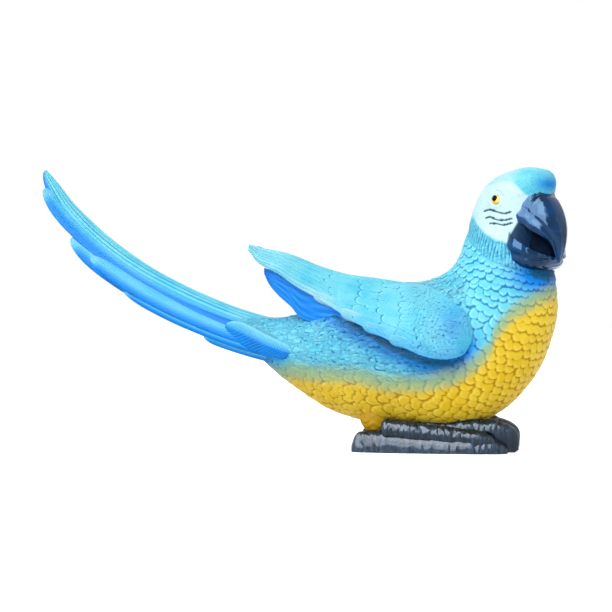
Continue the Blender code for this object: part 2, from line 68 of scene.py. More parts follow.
# %% [markdown]
# ## Soft steps and points
# Nothing on a carved bird starts or stops sharply. Almost every shape and mask below is a
# soft step or a soft bump of some distance, so these get a function each. Others turn
# three coordinates into points, and a short table into a smooth curve.


# %% Functions for soft steps, points, circles and curves
def ease(low, high, value):
    """0 up to low and 1 from high on, with a soft rise between them."""
    x = np.clip((value - low) / (high - low), 0, 1)
    return x * x * (3 - 2 * x)


def bell(value, middle, width):
    """1 at the middle, falling softly to 0 within about two widths on each side."""
    return np.exp(-(((value - middle) / width) ** 2))


def xyz(x, y, z):
    """Points from coordinates, each of them one value, a row, a column or a grid."""
    return np.stack(np.broadcast_arrays(x, y, z), axis=-1)


def circle(steps):
    """Angles once round, as a row, with their cosines and sines."""
    a = np.arange(steps)[None, :] * 2 * math.pi / steps
    return a, np.cos(a), np.sin(a)


def spline(rows, t):
    """Rows of a table read at the places t along it, on a smooth curve."""
    t = np.atleast_1d(np.asarray(t, float))
    last = len(rows) - 1
    i = np.clip(np.floor(t).astype(int), 0, last - 1)
    s = (t - i)[:, None]
    p0, p1 = rows[np.maximum(i - 1, 0)], rows[i]
    p2, p3 = rows[i + 1], rows[np.minimum(i + 2, last)]
    bend = (2 * p0 - 5 * p1 + 4 * p2 - p3) * s**2 + (3 * p1 - p0 - 3 * p2 + p3) * s**3
    return 0.5 * (2 * p1 + (p2 - p0) * s + bend)


def whole_spline(rows, stations):
    """The curve through all rows, read at evenly spaced stations."""
    return spline(rows, np.linspace(0, len(rows) - 1, stations))


print("a soft step half way up:", float(ease(0, 1, 0.5)))

# %% [markdown]
# ## The bird's outline as tables
# A figurine has no straight edge to measure from, so its shape is kept as short tables:
# a row for each section, in millimetres. A row of the body says where the section's back
# and its belly lie, as x and z, and how far it reaches to each side. Nearly the same
# tables made the solid: only the taper of the rump, the fuller bowl of the lower beak and
# the raised rim near the hook belong to this scene alone.

# %% Tables of the body, and points on it
TRUNK = np.array([
    (-43.0, 81.0, -43.5, 70.0, 6.5), (-31.0, 78.4, -33.0, 61.5, 10.6),
    (-18.0, 76.5, -21.5, 53.0, 13.0), (-8.0, 77.0, -11.0, 43.5, 17.0),
    (2.5, 79.5, 2.5, 33.5, 22.0), (16.0, 84.5, 19.5, 23.2, 27.0),
    (30.5, 90.0, 41.0, 16.5, 32.0), (46.5, 94.5, 67.0, 12.0, 36.0),
    (61.5, 97.0, 95.0, 13.0, 38.0), (72.5, 97.5, 120.5, 24.5, 38.0),
    (83.0, 100.5, 137.5, 43.0, 36.0), (90.5, 105.5, 146.5, 62.0, 33.0),
    (95.2, 112.5, 150.5, 81.0, 29.5), (97.5, 120.0, 149.5, 96.5, 26.0),
    (99.5, 128.0, 148.5, 109.0, 23.5),
])
NECK_AXIS_X = 124.5
HEAD = np.array([
    (-25.0, 134.5, 23.0, 121.0, 21.0), (-23.0, 142.0, 23.5, 131.5, 19.0),
    (-19.5, 148.5, 25.0, 142.0, 18.0), (-14.5, 154.0, 28.0, 150.5, 16.5),
    (-7.5, 158.2, 28.5, 156.0, 14.5), (1.0, 161.2, 26.5, 160.0, 10.5),
    (8.0, 162.7, 22.0, 162.0, 6.0), (15.0, 163.2, 15.0, 163.2, 0.0),
])
HEAD_YAW = math.radians(37.0)
NECK_TURN = (0.0, 0.12, 0.38, 0.7, 0.93)
BELLY_FULLNESS = 0.08


def turn_head(points, share=1.0):
    """Points turned with the head about the neck's upright axis."""
    angle = -HEAD_YAW * np.asarray(share)
    x, y = points[..., 0] - NECK_AXIS_X, points[..., 1]
    turned = points.copy()
    turned[..., 0] = NECK_AXIS_X + x * np.cos(angle) - y * np.sin(angle)
    turned[..., 1] = x * np.sin(angle) + y * np.cos(angle)
    return turned


def head_local(points):
    """Points seen from the head: forward of the neck's axis, sideways and up."""
    back = turn_head(points, -1.0)
    return back[..., 0] - NECK_AXIS_X, back[..., 1], back[..., 2]


def body_table():
    """The trunk's and the head's rows in one table, with the turn of each."""
    head = HEAD.copy()
    head[:, [0, 2]] += NECK_AXIS_X
    rows = np.vstack([TRUNK, head])
    turn = np.ones(len(rows))
    turn[: len(TRUNK)] = 0.0
    first = len(TRUNK) - len(NECK_TURN) + 1
    turn[first : first + len(NECK_TURN)] = NECK_TURN
    return np.column_stack([rows, turn])


BODY = body_table()


def body_points(t, angle):
    """Points on the body at places t along it and angles round it, 0 at the back."""
    t, angle = np.broadcast_arrays(np.asarray(t, float), np.asarray(angle, float))
    row, a = spline(BODY, t.ravel()), angle.ravel()
    back, front = row[:, 0:2], row[:, 2:4]
    plane = (back + front) / 2 + (back - front) / 2 * np.cos(a)[:, None]
    width = row[:, 4] * np.sin(a) * (1 - BELLY_FULLNESS * np.cos(a))
    points = np.column_stack([plane[:, 0], width, plane[:, 1]])
    return turn_head(points, row[:, 5]).reshape(t.shape + (3,))


print("rows of the body's table:", len(BODY))

# %% [markdown]
# ## A bed for feathers
# Each surface is a grid of points. A feather is a small shape on that grid: low at its
# root, highest at its rounded tip, and steep just past it. Where two feathers meet, the
# higher one wins, which is how real ones overlap. Writing them into one height for each
# grid point is much faster than modelling thousands of plates, and it leaves one skin.


# %% Class Bed: a grid of points that carries a carved height
class Bed:
    """A grid of points whose first index runs the way the feathers point."""

    def __init__(self, points, wraps):
        self.points, self.wraps = points, wraps
        along = np.gradient(points, axis=0)
        if wraps:
            across = (np.roll(points, -1, axis=1) - np.roll(points, 1, axis=1)) / 2
        else:
            across = np.gradient(points, axis=1)
        self.step = np.linalg.norm(along, axis=2) + 1e-6
        self.reach = np.linalg.norm(across, axis=2) + 1e-6
        self.along = along / self.step[..., None]
        self.across = across / self.reach[..., None]
        normal = np.cross(self.along, self.across)
        size = np.linalg.norm(normal, axis=2, keepdims=True)
        self.normal = normal / np.maximum(size, 1e-6)
        slant = (self.along * self.across).sum(axis=2)
        upright = np.sqrt(np.maximum(1 - slant**2, 0.02))
        self.pace, self.lean = self.step * upright, np.abs(slant) / upright
        self.across = (self.across - self.along * slant[..., None]) / upright[..., None]
        self.height = np.zeros(points.shape[:2])

    def comb(self, direction, share):
        """Turns the way the feathers point towards a direction, as far as share says."""
        wanted = direction - self.normal * (self.normal @ direction)[..., None]
        wanted /= np.linalg.norm(wanted, axis=2, keepdims=True) + 1e-6
        along = self.along * (1 - share)[..., None] + wanted * share[..., None]
        self.along = along / (np.linalg.norm(along, axis=2, keepdims=True) + 1e-6)
        self.across = np.cross(self.normal, self.along)

    def face_away_from(self, inside):
        """Turns the normals so that they point away from the given inner points."""
        flip = ((self.points - inside) * self.normal).sum(axis=2) < 0
        self.normal[flip] *= -1

    def rows_of_places(self, distance, pitch, spacing, middle):
        """Grid places in staggered rows: pitch apart along, spacing apart across."""
        rows, columns = distance.shape
        places = []
        for k in range(1, int(distance.max() / pitch)):
            level = k * pitch
            i = np.argmax(distance >= level, axis=0)
            reached = (distance[-1] >= level) & (i > 0)
            for way in (1, -1):
                j = middle + way * np.arange(columns // 2 if self.wraps else columns)
                j = j % columns if self.wraps else j[(j >= 0) & (j < columns)]
                stop = np.argmin(reached[j]) if not reached[j].all() else len(j)
                j = j[:stop]
                if len(j) < 2:
                    continue
                line = self.points[i[j], j]
                length = np.linalg.norm(np.diff(line, axis=0), axis=1)
                length = np.concatenate([[0], np.cumsum(length)])
                first = spacing / 2 if k % 2 else (0 if way == 1 else spacing)
                at = np.arange(first, length[-1], spacing)
                column = np.round(np.interp(at, length, np.arange(len(j)))).astype(int)
                places += [(i[j[c]], j[c]) for c in column]
        return places

    def lay(self, i, j, length, width, height, turn, point=1.0, rim=0.25, barbs=0.0):
        """Lays one feather with its tip a little past grid place i, j."""
        rows, columns = self.height.shape
        wi = int((length + width) / self.pace[i, j]) + 2
        wide = 0.8 * max(width, length * abs(math.sin(turn))) + length * self.lean[i, j]
        wj = min(int(wide / self.reach[i, j]) + 2, columns // 3)
        ii = np.arange(max(0, i - wi), min(rows, i + wi))
        jj = np.arange(j - wj, j + wj + 1)
        jj = jj % columns if self.wraps else jj[(jj >= 0) & (jj < columns)]
        window = np.ix_(ii, jj)
        offset = self.points[window] - self.points[i, j]
        a, b = offset @ self.along[i, j], offset @ self.across[i, j]
        u = a * math.cos(turn) + b * math.sin(turn)
        v = b * math.cos(turn) - a * math.sin(turn)
        half = width / 2
        past = np.maximum(u + half * point, 0) / (half * point)
        edge = 1 - np.sqrt(past**2 + (v / half) ** 2)
        ramp = np.clip(1 + u / length, 0, 1) ** 0.8
        rise = ease(0, rim, edge) * ramp * height * (1 - 0.15 * (v / half) ** 2)
        rise += barbs * ease(0, 0.3, edge) * ramp * np.sin(4.2 * np.abs(v) - 1.8 * u)
        self.height[window] = np.maximum(self.height[window], np.where(u > -length, rise, 0))

    def shading(self, depth):
        """0 in grooves, 0.5 on level parts and 1 on raised edges, for painted shade and highlight.
        """
        mean = self.height
        for axis in (0, 1):
            mean = sum(np.roll(mean, k, axis) for k in range(-2, 3)) / 5
        return np.clip(0.5 + (self.height - mean) / depth, 0, 1)

    def carved(self):
        """The grid's points, moved out by the carved height."""
        return self.points + self.normal * self.height[..., None]


print("ready to lay feathers")

# %% [markdown]
# ## Body, neck and head
# The trunk is a pear on its side, the neck rises out of the breast, and the head turns
# towards the viewer. A loft through oval sections gives this in one skin. The sections
# fan out round the breast, so the belly side is much longer than the back. Rows are
# spaced by the distance travelled over the skin, and the feathers of the neck are combed
# downwards, because there the rows of the grid fan out the most.

# %% The body's grid, from the crown down to the rump
ROWS, COLUMNS = 424, 392
BELLY = COLUMNS // 2
JAW_T = 14.6
t_fine = np.linspace(0.0, len(BODY) - 1.03, 900)
angles = np.arange(COLUMNS) * 2 * math.pi / COLUMNS
probe = body_points(t_fine[:, None], np.linspace(0, math.pi, 9)[None, :])
steps = np.linalg.norm(np.diff(probe, axis=0), axis=2)
travel = np.cumsum(0.5 * steps.mean(axis=1) + 0.5 * steps.max(axis=1))
travel = np.concatenate([[0], travel])
t_rows = np.interp(np.linspace(travel[-1], 0, ROWS), travel, t_fine)
body = Bed(body_points(t_rows[:, None], angles[None, :]), wraps=True)
body.face_away_from(body.points.mean(axis=1, keepdims=True))
body_length = np.cumsum(body.pace, axis=0)
x, y, z = (body.points[..., k] for k in range(3))
body.comb(np.array([-0.1, 0.0, -1.0]), ease(86, 98, z) * ease(17.5, 16.0, t_rows)[:, None])
jaw_row = int(np.argmin(np.abs(t_rows - JAW_T)))
from_jaw = body_length - body_length[jaw_row]
print("body grid:", body.points.shape, "belly line, mm:", round(body_length[-1, BELLY]))

# %% [markdown]
# ## Where each colour lies
# The painter worked by eye with an airbrush, so the borders are soft. The border between
# blue and yellow is a curve along the side, and the white face is a patch with its own
# curves, measured from the side of the head. The same masks later choose the feathers:
# broad scales on the neck and belly, a fine messy down on the flank, hair on the face.

# %% Masks of yellow and white
YELLOW_X = (-30, -11, 1, 12, 36, 57, 78, 94, 106, 114, 116, 125, 137, 147, 155)
YELLOW_Z = (43, 44, 46.5, 45, 44.5, 40, 40.5, 44.5, 52, 60, 68, 79, 86.5, 91.5, 95)
FACE_LOW = ((-24, -16, -10, -3, 5, 15, 26), (137, 135.5, 131, 126, 121.5, 118.5, 115))
FACE_HIGH = (
    (-24, -20, -8, 6, 12, 16, 19, 22, 26),
    (146, 150, 153.5, 155.5, 155, 152, 148.5, 145, 142),
)


def yellow_mask(softness):
    """1 below the border with the yellow belly, over so many millimetres each way."""
    return ease(-softness, softness, np.interp(x, YELLOW_X, YELLOW_Z) - z)


def face_mask():
    """1 on the bare white face, from behind the eye to the beak on both sides."""
    low, high = (np.interp(ahead, *curve) for curve in (FACE_LOW, FACE_HIGH))
    inside = ease(-1.2, 1.6, up - low) * ease(-1.2, 1.6, high - up)
    return inside * ease(3.5, 11.0, np.abs(side)) * ease(100, 104, x)


ahead, side, up = head_local(body.points)
yellow = yellow_mask(8.0)
white_paint_and_highlight = face_mask()
print("share of the body painted yellow:", round(float(yellow.mean()), 2))

# %% [markdown]
# ## Scales on neck, breast and belly
# Broad round scales lie in staggered rows, like roof tiles. They are larger on the belly
# than on the neck. A hand-carved row is never quite even, so each scale moves, turns and
# grows a little by chance, and more so on the rear of the belly, which looks ruffled.

# %% Laying the scales
NECK_SCALES, BELLY_SCALES = (3.9, 5.0), (5.2, 6.6)
belly = ease(90, 78, z)
flank = ease(104, 94, x) * ease(104, 95, z) * (1 - yellow_mask(3.0))
hair_end = np.interp(np.cos(angles), (-1, 0.2, 1), (17, 14, 6))[None, :]
hairy = from_jaw < hair_end
for (pitch, spacing), here in ((NECK_SCALES, 1 - belly), (BELLY_SCALES, belly)):
    for i, j in body.rows_of_places(from_jaw, pitch, spacing, BELLY):
        if hairy[i, j] or here[i, j] < 0.5 or flank[i, j] > chance.uniform(0.35, 0.75):
            continue
        shift_i = int(round(chance.normal(0, 0.11 * pitch) / body.step[i, j]))
        shift_j = int(round(chance.normal(0, 0.08 * spacing) / body.reach[i, j]))
        i, j = min(max(i + shift_i, 0), ROWS - 1), (j + shift_j) % COLUMNS
        messy = yellow[i, j] * ease(100, 70, x[i, j])
        size = chance.normal(1.03, 0.09 + 0.05 * messy) * (1 - 0.1 * messy)
        tall = chance.uniform(0.75, 1.05) * (1 - 0.25 * messy)
        turn = chance.normal(0, 0.1 + 0.22 * messy)
        body.lay(i, j, 1.55 * pitch * size, 1.16 * spacing * size, tall, turn, point=1.3, rim=0.2)
print("tallest scale on the body, mm:", round(float(body.height.max()), 2))

# %% [markdown]
# ## Down on the flank
# Under the wing and on the rump the sculptor left the scales out and stabbed short
# pointed strokes in all directions. They are the same feather shape, only small, narrow
# and turned by chance.

# %% Laying the down
DOWN_PITCH, DOWN_SPACING = 2.7, 2.2
for i, j in body.rows_of_places(from_jaw, DOWN_PITCH, DOWN_SPACING, BELLY):
    if hairy[i, j] or flank[i, j] < chance.uniform(0.3, 0.8):
        continue
    size = chance.uniform(0.8, 1.5)
    tall = chance.uniform(0.3, 0.75)
    body.lay(i, j, 6.0 * size, 2.5 * size, tall, chance.normal(0, 0.5), point=1.8, rim=0.3)
print("share of the body covered by down:", round(float((flank > 0.5).mean()), 2))

# %% [markdown]
# ## Hair on the crown, face and throat
# The head's feathers are too small to carve one by one at this size. The sculptor made
# short strokes instead, and left the bare face nearly smooth. Below the face longer
# strands are combed down with a rake, so here they are waves round the neck's axis.

# %% Strands on the throat, and strokes on the head
HAIR_PITCH, HAIR_SPACING, STRANDS_ROUND = 2.1, 1.8, 76
from_crown = body_length - body_length[2]
combed = ease(-7, -1, from_jaw) * ease(0, -3, from_jaw - hair_end) * (1 - white_paint_and_highlight)
around = np.arctan2(y, x - NECK_AXIS_X)
wander = 1.1 * np.sin(z / 5 + around * 7) + 0.8 * np.sin(z / 2.7 - around * 12)
strand = 0.5 + 0.5 * np.cos(STRANDS_ROUND * around + wander)
broken = 0.65 + 0.35 * np.sin(z * 0.9 + 2.6 * np.sin(around * 31))
body.height = np.maximum(body.height * (1 - combed), 0.34 * combed * strand * broken)
for i, j in body.rows_of_places(from_crown, HAIR_PITCH, HAIR_SPACING, BELLY):
    if not hairy[i, j]:
        continue
    if white_paint_and_highlight[i, j] > 0.5:
        if chance.random() < 0.6:
            body.lay(i, j, 3.4, 1.6, chance.uniform(0.06, 0.2), chance.normal(0, 0.6))
    else:
        tall = chance.uniform(0.12, 0.3) * (1 - 0.8 * combed[i, j])
        body.lay(i, j, 4.5, 1.7, tall, chance.normal(0, 0.25), point=2.6, rim=0.6)
print("share of the body under hair:", round(float(hairy.mean()), 2))

# %% [markdown]
# ## Lines and lids
# Three wavy lines are scratched under each eye with a needle, and each eye sits in a low
# raised lid. Both are found by distance: how far each point is from the lines, and how
# far from the middle of the eye.

# %% Wavy lines under the eyes, and the lids
LINES = (
    ((-5.2, 138.2), (-0.4, 138.8), (4.0, 137.5), (8.8, 136.3), (12.6, 137.0)),
    ((-3.2, 134.1), (0.2, 134.6), (4.8, 132.9), (9.6, 132.5), (13.3, 133.3)),
    ((0.6, 130.9), (5.0, 130.6), (9.2, 129.8), (13.4, 130.8)),
)
LINE_DEPTH, LID_RADIUS, LID_HEIGHT = 0.4, 3.9, 0.45
EYE_T, EYE_ANGLE = 16.9, math.radians(92)
FAR = 9.0
scratch = np.full(up.shape, FAR)
for line in LINES:
    for f, h in whole_spline(np.array(line, float), 60):
        scratch = np.minimum(scratch, np.hypot(ahead - f, up - h))
scratch = np.where(from_jaw < 4, scratch, FAR)
lines = 1 - ease(0.3, 0.75, scratch)
eye_distance = np.minimum(*(
    np.linalg.norm(body.points - body_points(EYE_T, way * EYE_ANGLE), axis=2) for way in (-1, 1)))
body.height = (body.height - LINE_DEPTH * lines) * ease(2.6, 5.0, eye_distance)
body.height += LID_HEIGHT * bell(eye_distance, LID_RADIUS, 0.8)
print("grid points in the wavy lines:", int((lines > 0.5).sum()))

# %% [markdown]
# ## From grid to mesh
# A mesh is built from a grid in one step: the points, and four-sided faces that join
# each ring to the next. The ends close with a fan to a middle point. The masks go along
# as named attributes on the points, where a material can read them. Only edges steeper
# than a cut feather's stay sharp, and all faces are turned outwards.

# %% Functions that turn grids into pieces
SHARP = math.radians(80)


def skin(rings):
    """Points and faces of a grid whose rings are joined, with both ends closed."""
    rows, columns = rings.shape[:2]
    grid = np.arange(rows * columns).reshape(rows, columns)
    right = np.roll(grid, -1, axis=1)
    quads = np.stack([grid[:-1], right[:-1], right[1:], grid[1:]], axis=-1).reshape(-1, 4)
    ends = np.array([rings[0].mean(axis=0), rings[-1].mean(axis=0)])
    low, high = rows * columns, rows * columns + 1
    fans = [(right[0, c], grid[0, c], low) for c in range(columns)]
    fans += [(grid[-1, c], right[-1, c], high) for c in range(columns)]
    return np.vstack([rings.reshape(-1, 3), ends]), quads.tolist() + fans


def with_ends(values, grid):
    """A mark's values in the order of skin's points, with a 0 for each closed end."""
    return np.concatenate([np.broadcast_to(values, grid.shape[:2]).ravel(), [0.0, 0.0]])


def make_piece(name, grids, marks=None, **even):
    """One closed object from several grids of points in millimetres.

    marks maps a name to the values on each grid. An even mark has one value all over.
    """
    points, faces, start = [], [], 0
    for grid in grids:
        p, f = skin(grid)
        points.append(p)
        faces += [tuple(int(v) + start for v in face) for face in f]
        start += len(p)
    points = np.vstack(points)
    layers = {
        key: np.concatenate([with_ends(v, grid) for v, grid in zip(values, grids)])
        for key, values in (marks or {}).items()}
    layers.update((key, np.full(len(points), value)) for key, value in even.items())
    mesh = bpy.data.meshes.new(name)
    mesh.from_pydata(((points - (MIDDLE_X, 0, 0)) * MM).tolist(), [], faces)
    for key, values in layers.items():
        layer = mesh.attributes.new(key, "FLOAT", "POINT")
        layer.data.foreach_set("value", values.astype(np.float32))
    mesh.shade_smooth()
    mesh.set_sharp_from_angle(angle=SHARP)
    piece = bpy.data.objects.new(name, mesh)
    bpy.context.scene.collection.objects.link(piece)
    work = bmesh.new()
    work.from_mesh(mesh)
    bmesh.ops.recalc_face_normals(work, faces=work.faces)
    work.to_mesh(mesh)
    work.free()
    print(name, "has", sum(len(f.vertices) - 2 for f in mesh.polygons), "triangles")
    return piece


def marks_of(parts, names):
    """Marks by name, from parts that are each a grid and then its values."""
    marks = {name: [part[n] for part in parts] for n, name in enumerate(names, 1)}
    marks["relief"] = [np.clip(values, 0, 1) for values in marks["relief"]]
    return marks


print("a piece needs", len(skin(np.zeros((3, 4, 3)))[1]), "faces for a grid of 3 by 4 points")

# %% [markdown]
# ## Painted shade, and patches of deeper blue
# A deeper blue is painted as painted shade under the wing, below the beak and at the
# tail's root. A patch of deeper blue paint lies on the forehead over the beak, and the
# front of the neck and the flank are a little darker. Each is a soft spot on the body.
# The wing's outline comes in here already, because the painted shade under it follows it.

# %% The wing's outline, and the painted shade round it
WING = np.array([
    (104.0, 70.0, 64.5), (99.5, 80.5, 57.0), (93.0, 85.5, 54.5), (86.0, 90.5, 54.0),
    (76.0, 95.5, 56.0), (61.5, 97.7, 62.5), (45.5, 100.2, 70.0), (29.0, 102.5, 79.0),
    (13.0, 107.1, 88.5), (1.0, 112.0, 95.0), (-9.0, 115.5, 102.0), (-20.5, 117.8, 108.0),
    (-25.0, 119.2, 113.2), (-27.0, 119.6, 116.2),
])
wing_line = whole_spline(WING, 300)


def wing_outline(px, edge):
    """Height of the wing's upper edge (1) or lower edge (2) at x places."""
    return np.interp(-px, -wing_line[:, 0], wing_line[:, edge])


# Painted shade under the wing's lower edge.
painted_shade_under_wing = bell(wing_outline(x, 2) - z, 3, 9.0) * ease(-6, 16, x) * ease(112, 98, x)
# Painted shade below the beak.
painted_shade_below_beak = 0.8 * bell(x, 147, 21) * bell(z, 102.5, 9.5) * (x > 100)
# Painted shade where the tail leaves the rump.
painted_shade_at_tail_root = ease(-6, -18, x) * ease(66, 56, z) * 0.7
forehead = 0.85 * bell(ahead, 30, 4.8) * bell(z, 152.5, 3.9)
neck_front = 0.35 * ease(118, 140, x) * ease(122, 112, z) * ease(84, 96, z)
flank_front = 0.06 * flank * ease(104, 60, x)
deep_paint_and_shade = 0.95 * painted_shade_under_wing + painted_shade_below_beak + painted_shade_at_tail_root + forehead + neck_front + flank_front
deep_paint_and_shade = np.clip(deep_paint_and_shade, 0, 1)
print("share of the body under deep blue:", round(float((deep_paint_and_shade > 0.5).mean()), 2))

# %% [markdown]
# ## The body's marks, and its three pieces
# The last marks say where the carving is raised, where the crown turns pale, where the
# corner of the beak is inked, and where messy strokes of down show in the paint. The
# body is one skin, cut into three pieces at the lower neck and the waist, so that no
# piece grows heavy.

# %% Body in three pieces: head and neck, breast, belly and rump
SPLIT = int(np.argmin(np.abs(t_rows - 12.4)))
WAIST = (SPLIT + ROWS) // 2
# Painted shade in grooves and painted highlight on raised edges come from this relief.
relief = 0.5 + (body.shading(0.42) - 0.5) * (1 - 0.25 * flank * ~hairy)
gape = ease(0, 1.2, ahead - np.interp(up, (118, 124, 131), (11.5, 12.5, 15.5)))
gape *= ease(118, 122, up + 0.9 * (ahead - 9)) * ease(133.5, 132, up)
crown = 0.6 * ease(147, 152, z) * ease(20, 6, ahead) * ease(104, 108, x)
white_paint_and_highlight = np.maximum(white_paint_and_highlight, crown)
ruffled = flank * 1.2 * (1 - yellow) + 0.55 * yellow * ease(95, 60, x)
ruffled = np.clip(ruffled + 0.6 * combed + 0.25 * hairy * (1 - white_paint_and_highlight), 0, 1)
body_marks = {
    "yellow": yellow, "white_paint_and_highlight": white_paint_and_highlight, "deep_paint_and_shade": deep_paint_and_shade, "relief": relief,
    "lines": np.maximum(lines, gape), "down": ruffled}
carved_body = body.carved()
body_pieces = []
for name, first, last in (
        ("head_and_neck", 0, SPLIT), ("breast", SPLIT, WAIST), ("belly_and_rump", WAIST, ROWS)):
    cut = slice(first, last + 1)
    marks = {key: [grid[cut]] for key, grid in body_marks.items()}
    body_pieces.append(make_piece(name, [carved_body[cut]], marks))

# %% [markdown]
# ## Wings
# A folded wing lies on the flank like a long leaf. Its outer face follows the body and
# stands a few millimetres off it, and its tip lifts clear above the tail. So the face is
# the higher of two surfaces, the body with a lift and an arc between the wing's edges,
# with a soft join between them.

# %% The wing's smooth surface
WING_LIFT, WING_ROOT_LIFT, WING_BULGE, WING_THICKNESS = 4.8, 1.8, 4.0, 4.6
WING_PARTING, WING_TIP_SPREAD, WING_FREE_FROM_X, WING_SHOULDER = 7.0, 27.0, 26.0, 15.0
TRUNK_END_T = len(TRUNK) - 2
half_t = np.linspace(2, TRUNK_END_T, 240)


def body_half_width(px, pz):
    """Half the trunk's width at places in the upright middle plane, and 0 outside it."""
    row = spline(BODY, half_t)
    back, front = row[:, 0:2], row[:, 2:4]
    mid, half = (back + front) / 2, (back - front) / 2
    length = np.hypot(half[:, 0], half[:, 1])
    px, pz = np.broadcast_arrays(np.asarray(px, float), np.asarray(pz, float))
    off = np.stack([px.ravel(), pz.ravel()], axis=1)[:, None, :] - mid[None]
    across = (half[:, 0] * off[..., 1] - half[:, 1] * off[..., 0]) / length
    along = (half[:, 0] * off[..., 0] + half[:, 1] * off[..., 1]) / length**2
    best = np.argmin(np.abs(across) + 50.0 * (np.abs(along) > 1.3), axis=1)
    c = along[np.arange(len(best)), best]
    width = row[best, 4] * np.sqrt(np.maximum(0, 1 - c * c)) * (1 - BELLY_FULLNESS * c)
    return np.where(np.abs(c) < 1, width, 0.0).reshape(px.shape)


def wing_edges(px):
    """Heights and sideways places of a wing's two edges, and its rise at the shoulder."""
    top_z, low_z = wing_outline(px, 1), wing_outline(px, 2)
    inward = 1 - np.clip((WING[0, 0] - px) / WING_SHOULDER, 0, 1)
    shoulder = np.sqrt(np.maximum(0, 1 - inward**2))
    held = np.maximum(px, WING_FREE_FROM_X)
    top_y = np.maximum(body_half_width(px, top_z), WING_PARTING / 2)
    low_y = body_half_width(held, wing_outline(held, 2)) + WING_LIFT * shoulder
    free = np.clip((WING_FREE_FROM_X - px) / (WING_FREE_FROM_X - WING[-1, 0]), 0, 1)
    top_y = top_y + (WING_TIP_SPREAD / 2 - top_y) * free**2
    low_y = low_y + (WING_TIP_SPREAD / 2 - low_y) * free**0.9
    return top_z, low_z, top_y, low_y, shoulder


def wing_surface(px, s):
    """The wing's smooth outer face at x places and shares s from upper to lower edge."""
    top_z, low_z, top_y, low_y, shoulder = (v[:, None] for v in wing_edges(px))
    px, s = px[:, None], s[None, :]
    pz = top_z + (low_z - top_z) * s
    arc = top_y + (low_y - top_y) * s + WING_BULGE * shoulder * 4 * s * (1 - s)
    width = body_half_width(px, pz)
    lift = WING_ROOT_LIFT + (WING_LIFT - WING_ROOT_LIFT) * np.sin(
        math.pi / 2 * np.minimum(1, 1.5 * s))
    on_body = width + lift * shoulder * np.minimum(1, width / 6)
    py = np.log(np.exp(arc) + np.exp(on_body))
    return xyz(px, np.where(on_body < arc - 6, arc, py), pz)


wing_x = WING[0, 0] - 0.1 - (WING[0, 0] - WING[-1, 0] - 0.3) * np.linspace(0, 1, 226) ** 1.12
wing_s = np.linspace(0, 1, 150)
wing = Bed(wing_surface(wing_x, wing_s), wraps=False)
wing.normal *= np.sign(wing.normal[..., 1:2])
from_shoulder = np.cumsum(wing.step, axis=0)
print("wing length, mm:", round(float(from_shoulder[-1].max())))

# %% [markdown]
# ## Carving the wing
# The shoulder has soft short strokes, the middle has rows of covert feathers, and the
# rear is long quills side by side, each one a step lower than the one above. The quills
# are a saw wave across the wing, and the coverts are laid on them from the rear forwards,
# row by row, as on a real wing.

# %% Quills, coverts and shoulder strokes
QUILLS = 7
COVERT_ROWS = (
    (20, 24.0, 6.6, 0.60), (36, 22.0, 7.0, 0.66), (50, 18.0, 6.4, 0.62),
    (62, 13.0, 5.6, 0.55), (72, 9.5, 4.8, 0.46), (81, 7.5, 4.2, 0.38),
)
SHOULDER_PITCH, SHOULDER_SPACING = 2.5, 2.3
wx, wz = wing.points[..., 0], wing.points[..., 2]
share = np.broadcast_to(wing_s[None, :], wx.shape)
warp = share**1.15 * QUILLS + 0.10 * np.sin(wx / 11.0 + share * 5)
step_up = warp - np.floor(warp)
wing.height = ease(34, 14, wx) * (0.15 + 0.5 * step_up**1.3 * ease(1.0, 0.88, step_up))
for n, (tip_x, length, width, tall) in enumerate(COVERT_ROWS):
    below_edge = (0.5 * (n % 2) + 0.3) * width
    while True:
        i = int(np.argmin(np.abs(wing_x - tip_x - chance.normal(0, 1.0))))
        depth = np.linalg.norm(wing.points[i] - wing.points[i, 0], axis=1)
        if below_edge > depth[-1] - 1.0:
            break
        j = int(np.argmin(np.abs(depth - below_edge)))
        wing.lay(i, j, length, width * chance.uniform(0.95, 1.1), tall * chance.uniform(0.85, 1.1),
                 chance.normal(0, 0.05), point=1.2, rim=0.26, barbs=0.07)
        below_edge += width * chance.uniform(0.72, 0.85)
for i, j in wing.rows_of_places(from_shoulder, SHOULDER_PITCH, SHOULDER_SPACING, 0):
    front = float(ease(58, 80, wx[i, j]))
    if chance.random() < 0.25 + 0.75 * front and wx[i, j] > 40:
        size = chance.uniform(0.8, 1.5)
        tall = wing.height[i, j] + (chance.uniform(0.1, 0.2) + 0.16 * front)
        wing.lay(i, j, 4.6 * size, 2.2 * size, tall, chance.normal(0, 0.45), point=1.4)
edge_fade = np.clip(share * 14, 0, 1) * np.clip((1 - share) * 14, 0, 1)
wing.height *= edge_fade**0.7
print("tallest feather on the wing, mm:", round(float(wing.height.max()), 2))

# %% [markdown]
# ## Feathers below the wing
# The carved face alone would be a paper shell, so a smooth inner face closes it. Round
# feather ends step out from under its lower edge, and behind them hangs the flat blade
# of the inner flight feathers. All of them are rings of points, so they close as one.

# %% The inner face, the feathers that step out, and the inner blade
BACK_STEPS = 26
SECONDARY_ENDS = (58.0, 42.5, 28.5, 12.5)
SECONDARY_LENGTH, SECONDARY_WIDTH, SECONDARY_THICKNESS = 23.0, 6.8, 3.2
INNER_WING = np.array([
    (38.5, 92.5, 76.0), (19.0, 96.5, 74.0), (5.0, 99.5, 76.0), (-2.5, 102.0, 83.5),
    (-9.5, 104.0, 89.5), (-15.2, 105.0, 96.0), (-18.5, 106.0, 102.5),
])
INNER_BLADE_GAP, INNER_BLADE_THICKNESS = 2.8, 4.0


